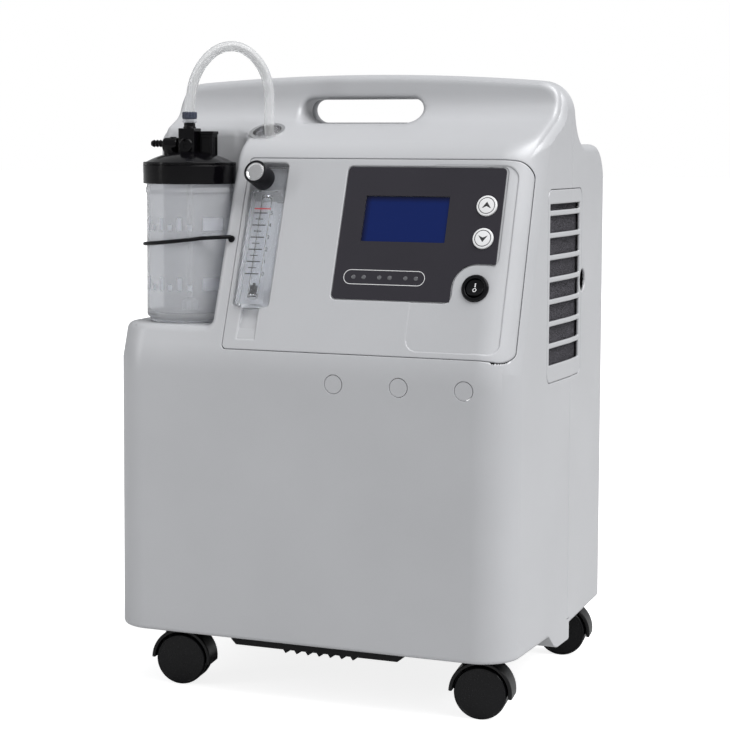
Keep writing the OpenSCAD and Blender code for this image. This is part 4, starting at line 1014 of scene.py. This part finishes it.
def key_piece(name, v, node, body, up):
    profile = [(0, -18.9, 0), (3, -18.9, 0.4), (3, -5, 0), (9.9, -5, 0.4), (9.9, 1.3, 0.8), (0, 1.3, 0)]
    turned(name, profile, on_slope(162, v), body, "button_white", nodes=[node])
    face = on_slope(162, v, 1.3)
    printed(name + "_ring", [(circle(0, 0, 8.0), circle(0, 0, 7.3))], face, body, "print_black", 0.04)
    s = 1 if up else -1
    arrow = [(0, 3.7 * s), (-4.5, -2.7 * s), (0, -0.6 * s), (4.5, -2.7 * s)]
    printed(name + "_arrow", [(arrow, None)], face, body, "print_black", 0.04)


def rocker_frame():
    return SLOPE @ Matrix.Translation((ROCKER[0], 3.2, ROCKER[1])) @ Matrix.Rotation(math.radians(-10), 4, "X")


def rocker(x, y, z):
    """Disc with a hollow face, in its own tilted frame: y runs into the panel."""
    disc = np.maximum(np.hypot(x, z) - 8.7, np.maximum(-4.4 - y, y - 3.0))
    disc = rmax(np.hypot(x, z) - 8.7, -4.4 - y, 0.7)
    disc = np.maximum(np.maximum(disc, y - 3.0), np.hypot(y, z) - 8.8)
    return smax(disc, 18 - np.hypot(y + 21.5, z), 0.8)


def rocker_marks(x, y, z):
    stroke = box2(x, z, -0.62, 0.62, 0.5, 4.3, 0.1)
    ring = np.abs(np.hypot(x / 0.85, z + 2.5) - 1.75) - 0.45
    face = rocker(x, y, z)
    return np.maximum(np.maximum(np.minimum(stroke, ring), face - 0.06), np.maximum(-face - 0.35, y + 2))


def build_console():
    key_piece("up_key", KEYS[0][1], "up_button", "up_key", True)
    key_piece("down_key", KEYS[1][1], "down_button", "down_key", False)
    bezel = [(9.3, -16, 0), (9.3, 1.9, 0.6), (12.2, 1.9, 1.2), (13, 0.4, 0.4), (13, -1.46, 0), (9.9, -1.46, 0), (9.9, -16, 0)]
    turned("rocker_ring", bezel, on_slope(*ROCKER), "casing", "switch_black", nodes=["rocker_bezel"])
    frame_at = rocker_frame()
    small_field("rocker_key", rocker, (-9.3, -5.3, -9.3), (9.3, 3.6, 9.3), 0.3, "rocker", "switch_black", "switch_black",
                ["rocker_switch"], frame_at)
    small_field("rocker_marks", rocker_marks, (-2.6, -5, -7), (2.6, -2.2, 7), 0.16, "rocker", "print_white", "switch_black",
                (), frame_at)
    top_of_plate = on_slope(0, 0, -0.2)
    line = [(stadium(29.5, 110.5, 85.5, 7.2), stadium(30.1, 109.9, 85.5, 6.6))]
    printed("lamp_outline", line, top_of_plate, "casing", "print_white", 0.05)
    for i, x in enumerate(LED_X):
        lens = [(0, -8, 0), (2.1, -8, 0), (2.1, -0.1, 0.3), (0, 0.15, 0)]
        turned(f"lamp_{i + 1}", lens, on_slope(x, 85.5), "casing", "led_lens", steps=40,
               nodes=["indicator_leds"] if i == 0 else ())
    glass = [(*p, ) for p in bar(41.7, 124.8, 120.7, 165.3)]
    printed("display_window", [(glass, None)], on_slope(0, 0, -1.55), "casing", "display_blue", 0.4)


# ---------------------------------------------------------------- flow meter


def meter_body(x, depth, v):
    main = rmax(box2(x, v, -76, -47.5, 54, 167.5, 2), np.abs(depth - 2.4) - 7.4, 1.2)
    upper = rmax(box2(x, v, -75, -47.5, 160, 194, 2), np.abs(depth - 6.4) - 3.6, 1.0)
    d = smin(main, upper, 1.5)
    d = np.maximum(d, 3.5 - np.hypot(x + 66.5, v - 180))
    bore = rmax(np.hypot(x + 61, depth - 2) - 5.4, np.abs(v - 112.5) - 51.5, 1)
    return np.maximum(d, -bore)


def text_outline(body, size, x, y):
    data = bpy.data.curves.new("figure", "FONT")
    data.body = body
    data.size = size
    data.extrude = 0.03
    data.align_x = "LEFT"
    data.align_y = "CENTER"
    figure = bpy.data.objects.new("figure", data)
    scene.collection.objects.link(figure)
    bpy.context.view_layer.update()
    mesh = bpy.data.meshes.new_from_object(figure.evaluated_get(bpy.context.evaluated_depsgraph_get()))
    mesh.transform(Matrix.Translation((x, y, 0)))
    bpy.data.objects.remove(figure)
    return mesh


def build_meter():
    x_ticks, v0, v1 = -69.8, 83.8, 144.5
    small_field("meter_block", meter_body, (-77, -6, 53), (-46.5, 11, 195.4), 0.55, "casing", "clear_acrylic", "clear_acrylic",
                ["flowmeter_body"], SLOPE)
    printed("meter_back", [(bar(-76, -47.5, 54, 160), None)], on_slope(0, 0, -10.9), "casing", "scale_white", 0.5)
    front = on_slope(0, 0, 5.05)
    bars = []
    pitch = (v1 - v0) / 5
    for i in range(6):
        v = v0 + pitch * i
        bars.append((bar(x_ticks, x_ticks + 14, v - 0.5, v + 0.5), None))
        if i < 5:
            bars.append((bar(x_ticks + 2.4, x_ticks + 10.4, v + pitch / 2 - 0.4, v + pitch / 2 + 0.4), None))
    printed("meter_scale", bars, front, "casing", "print_black", 0.04)
    printed("meter_limit", [(bar(x_ticks - 0.3, x_ticks + 16.7, v1 + 3.8, v1 + 4.9), None)], front, "casing", "print_red",
            0.04)
    bm = bmesh.new()
    for i in range(6):
        bm.from_mesh(text_outline(str(i), 5.5, -52.6, v0 + pitch * i))
    finish_mesh("meter_figures", bm, front, "casing", "print_black", (), 30)
    along = SLOPE @ Matrix.Translation((-61, 2, 0))
    seal = [(4.1, 0, 0.3), (5.3, 0, 0.4), (5.3, 1.3, 0.4), (4.1, 1.3, 0.3)]
    for i, v in enumerate((61.6, 64.2, 160.4)):
        turned(f"meter_seal_{i + 1}", seal, along @ Matrix.Translation((0, 0, v)), "casing", "float_black", steps=64)
    plug = [(0, 0, 0), (4.9, 0, 0.3), (4.9, 3.4, 0.5), (2.2, 4.2, 0.4), (0, 4.2, 0)]
    turned("meter_plug", plug, along @ Matrix.Translation((0, 0, 61.4)), "casing", "bright_metal", steps=64)
    turned("meter_valve_plug", plug, along @ Matrix.Translation((0, 0, 159.7)), "casing", "bright_metal", steps=64)


def build_knob():
    at = on_slope(-66.5, 180)
    barrel = [(0, -35, 0), (2.9, -35, 0.3), (2.9, -1.3, 0), (9.5, -1.3, 1.2), (11.5, 2.2, 1.5), (11.5, 24.2, 1.0), (9.3, 24.2, 0.5),
              (9.3, 22.4, 0), (0, 22.4, 0)]
    turned("knob_barrel", barrel, at, "flow_knob", "knob_black", nodes=["flow_knob"], steps=432,
           teeth=(72, 0.42, 11.2, 2.6, 22.4), sharp=60)
    cap = [(0, 21.5, 0), (9.2, 21.5, 0), (9.2, 23.9, 0.4), (8.2, 23.9, 0.4), (7.4, 22.8, 0.4), (0, 23.1, 0)]
    turned("knob_face", cap, at, "flow_knob", "bright_metal", nodes=["knob_cap"])


# ---------------------------------------------------------------- humidifier

BOTTLE = (-148.0, -95.0)


def cap_shape(x, y, z):
    r = np.hypot(x - BOTTLE[0], y - BOTTLE[1])
    band = rmax(r - 45.5, np.abs(z - 502) - 10, 0.9)
    dome = np.maximum(np.hypot(r, z - 433.9) - 90, np.maximum(r - 43.0, 508 - z))
    lip = rmax(np.abs(r - 44.2) - 1.2, np.abs(z - 512) - 1.1, 0.6)
    d = np.minimum(smin(band, dome, 1.6), lip)
    groove = rmax(np.abs(r - 45.6) - 0.5, np.abs(z - 510.4) - 0.35, 0.1)
    d = np.maximum(d, -groove)
    return np.maximum(d, -np.maximum(r - 43.7, z - 505.5))


def tower(x, y, z):
    u, v = x - BOTTLE[0], y - BOTTLE[1]
    block = rmax(box2(u, v, -8.6, 8.6, -8.6, 8.6, 1.6), np.abs(z - 533) - 13, 0.8)
    nose = rmax(np.hypot(u, z - 529) - 7.4, -v - 10.2, 1.2)
    nose = np.maximum(nose, v)
    d = smin(block, nose, 0.8)
    neck = rmax(np.hypot(u, v) - 5.6, np.abs(z - 548) - 3.2, 0.5)
    neck = np.minimum(neck, rmax(np.hypot(u, v) - 6.3, np.abs(z - 546.6) - 0.8, 0.3))
    spigot = rmax(np.hypot(u, v) - 4.3, np.abs(z - 553) - 4, 0.5)
    slots = np.maximum(box2(u, z, -1.7, 1.7, 533, 535.4, 0.2), v + 8)
    slots = np.minimum(slots, np.maximum(box2(u, z, -1.7, 1.7, 526.5, 530.6, 0.2), v + 9.6))
    return np.maximum(np.minimum(np.minimum(d, neck), spigot), -slots)


def relief(x, y, z):
    u, v = x - BOTTLE[0] - 17.0, y - BOTTLE[1] - 7.0
    body = rmax(box2(u, v, -7, 7, -7, 7, 1.3), np.abs(z - 527.5) - 14.5, 0.6)
    rim = rmax(box2(u, v, -7.7, 7.7, -7.7, 7.7, 1.5), np.abs(z - 541.6) - 1.6, 0.5)
    d = np.minimum(body, rim)
    panel = np.maximum(box2(u, z, -4.6, 4.6, 518, 537, 0.8), v + 6.0)
    side = np.maximum(box2(v, z, -4.6, 4.6, 518, 537, 0.8), 6.0 - u)
    well = np.maximum(np.hypot(u, v) - 4.8, 540 - z)
    return np.maximum(np.maximum(d, -np.minimum(panel, side)), -well)


def nozzle(x, y, z):
    u, v = x - BOTTLE[0] + 20, y - BOTTLE[1]
    foot = np.maximum(np.hypot(u, v) - 7.6, np.maximum(512 - z, z - 529))
    head = rmax(np.hypot(v, z - 529.5) - 7.4, np.abs(u - 0.5) - 8.2, 2.2)
    d = smin(foot, head, 1.5)
    stem = np.maximum(np.hypot(v, z - 531) - 2.6, np.abs(u + 13) - 8.4)
    for i in range(3):
        start = -11.5 - 3.6 * i
        cone = np.hypot(v, z - 531) - 2.6 - 0.42 * (u - start + 2.8)
        barb = np.maximum(cone, np.maximum(u - start, start - 2.9 - u))
        stem = np.minimum(stem, barb)
    screw = rmax(np.hypot(u - 2, v) - 3.2, np.abs(z - 536) - 1.6, 0.5)
    return np.minimum(smin(d, stem, 0.8), screw)


def build_humidifier():
    bx, by = BOTTLE
    small_field("cap_dome", cap_shape, (bx - 47, by - 47, 490.5), (bx + 47, by + 47, 526), 0.8, "casing", "humidifier_black",
                "humidifier_black", ["humidifier_cap"])
    small_field("inlet_tower", tower, (bx - 10, by - 12, 518), (bx + 10, by + 10, 558.4), 0.4, "casing", "humidifier_black",
                "humidifier_black", ["inlet_fitting"])
    small_field("relief_block", relief, (bx + 8, by - 2, 511), (bx + 26, by + 16, 545), 0.4, "casing", "humidifier_black",
                "humidifier_black", ["relief_valve"])
    small_field("gas_nozzle", nozzle, (bx - 43, by - 9.4, 511), (bx - 10, by + 9.4, 540), 0.4, "casing", "humidifier_black",
                "humidifier_black", ["outlet_nozzle"])
    glass = [(0, 359.6, 0), (33.6, 359.6, 0.8), (34.6, 357.8, 0.5), (38.4, 357.8, 0.9), (39.0, 361.2, 0.5), (42, 363.4, 3.2),
             (42, 482.4, 1), (43.1, 484, 0.8), (43.1, 487.4, 0.8), (42.1, 489.2, 0.5), (42.1, 505, 0.4), (40.4, 505, 0.3),
             (40.4, 367, 4.5), (0, 364.2, 0)]
    turned("bottle_wall", glass, upright(bx, by), "bottle", "bottle_clear", nodes=["humidifier_bottle"], steps=144)
    tube = [(0, 376, 0), (3, 376, 0.3), (3, 517, 0.3), (0, 517, 0)]
    turned("dip_pipe", tube, upright(bx, by), "casing", "hose_clear", nodes=["dip_tube"], steps=48)
    stone = [(0, 367.6, 0), (7.5, 367.6, 1), (8, 376, 1), (3.1, 379, 0.5), (0, 379, 0)]
    turned("diffuser", stone, upright(bx, by), "casing", "frosted", steps=64, teeth=(16, 0.5, 6, 368, 376))
    for level, (z0, z1) in enumerate(((389.0, 401.5), (447.0, 459.5))):
        band = [(42.0, z0, 0), (42.07, z0, 0), (42.07, z1, 0), (42.0, z1, 0)]
        turned(f"level_band_{level}", band, upright(bx, by), "bottle", "frosted", steps=24, span=(-46, -14))
        for i in range(6):
            a = -134 + 13.5 * i
            z2 = z0 + (z1 - z0) * (0.45 if i % 2 else 1.0)
            mark = [(42.0, z0, 0), (42.07, z0, 0), (42.07, z2, 0), (42.0, z2, 0)]
            turned(f"level_mark_{level}_{i}", mark, upright(bx, by), "bottle", "frosted", steps=4, span=(a, a + 6))
    collar = [(4.4, 551.4, 0.2), (6.9, 551.4, 0.8), (6.9, 554.8, 0.8), (4.4, 554.8, 0.2)]
    turned("hose_collar", collar, upright(bx, by), "casing", "frosted", steps=64)
    nut = [(4.75, 555, 0), (6.9, 555, 0.6), (7.35, 557, 0.8), (7.2, 562, 1.5), (5.15, 562, 0.3), (5.15, 557.7, 0), (4.75, 557.6, 0)]
    turned("ribbed_nut", nut, upright(bx, by), "nut", "nut_blue_grey", nodes=["hose_nut"], steps=168,
           teeth=(14, 0.75, 6.2, 555.6, 562.2), sharp=55)


def build_strap():
    end_x, end_v = -92.0, 119.3
    z = slope_z(end_v) + 2.2
    y = slope_y(end_v)
    ring = 42 + 1.9 + 0.3
    route = [(end_x, y - 2.2, z), (end_x - 4, y - 7.2, z - 0.2), (end_x - 12, y - 11.5, z - 0.6)]
    for i in range(15):
        a = math.radians(-48 - i * 10)
        route.append((BOTTLE[0] + ring * math.cos(a), BOTTLE[1] + ring * math.sin(a), z - 1.5 - 8 * math.sin(math.radians(i * 90 / 14))))
    curve = bpy.data.curves.new("bottle_band", "CURVE")
    curve.dimensions = "3D"
    curve.bevel_depth = 1.9 * MM
    curve.bevel_resolution = 5
    curve.use_fill_caps = True
    spline = curve.splines.new("NURBS")
    spline.points.add(len(route) - 1)
    for point, co in zip(spline.points, route):
        point.co = (*(Vector(co) * MM), 1)
    spline.use_endpoint_u = True
    spline.order_u = 3
    spline.resolution_u = 6
    band = curve_as_mesh("bottle_band", curve)
    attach(band, "casing")
    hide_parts("bottle_strap")
    paint(band, "strap_rubber")
    button = [(0, -1, 0), (3.4, -1, 0), (3.4, 1.2, 0.9), (0, 1.9, 0)]
    turned("band_button", button, on_slope(end_x, end_v, 0), "casing", "strap_rubber", steps=64)


# ---------------------------------------------------------------- casters

TRAIL = 10


def hood(x, y, z):
    """Caster hood about its stem: the axle is at x TRAIL, z 25."""
    r = np.hypot(x - TRAIL, z - 25)
    body = rmax(r - 30, np.abs(y) - 13, 1.2)
    body = np.maximum(body, 23.0 - z - 2.5 * np.clip((x - TRAIL) / 30, -1, 1))
    pockets = np.maximum(r - 26.6, 2.75 - np.abs(y))
    d = smax(body, -pockets, 0.6)
    post = rmax(np.hypot(x, y) - 9, np.abs(z - 47.5) - 7.4, 0.8)
    stem = np.maximum(np.hypot(x, y) - 5, np.maximum(50 - z, z - 65.9))
    hub = np.maximum(r - 7, np.abs(y) - 2.0)
    d = np.minimum(np.minimum(smin(d, post, 2), stem), hub)
    return np.maximum(d, 3.05 - r)


def build_casters():
    places = {"fr": (155, -115), "fl": (-155, -115), "rr": (160, 135), "rl": (-160, 135)}
    face = [(0, 2.5, 0), (24.0, 2.5, 0.8), (25, 4.2, 1.4), (25, 11.2, 1.6), (23.6, 12.9, 0.9), (22.6, 12.9, 0.3), (22.3, 12.6, 0.3),
            (12, 12.9, 8), (0, 13.0, 0)]
    for key, (x, y) in places.items():
        at = upright(x, y) @ Matrix.Rotation(math.radians(8), 4, "Z")
        small_field(f"hood_{key}", hood, (-21.5, -14.5, 17), (41.5, 14.5, 66.6), 0.9, f"swivel_{key}", "caster_black", "caster_black",
                    [f"caster_hood_{key}"], at)
        axle = at @ Matrix.Translation((TRAIL, 0, 25))
        for side, flip in ((1, -90), (-1, 90)):
            turned(f"wheel_{key}_{'a' if side > 0 else 'b'}", face, axle @ Matrix.Rotation(math.radians(flip), 4, "X"),
                   f"wheels_{key}", "wheel_black", nodes=[f"caster_wheels_{key}"] if side > 0 else (), steps=96)


build_console()
build_meter()
build_knob()
build_humidifier()
build_strap()
build_casters()

bpy.context.view_layer.update()
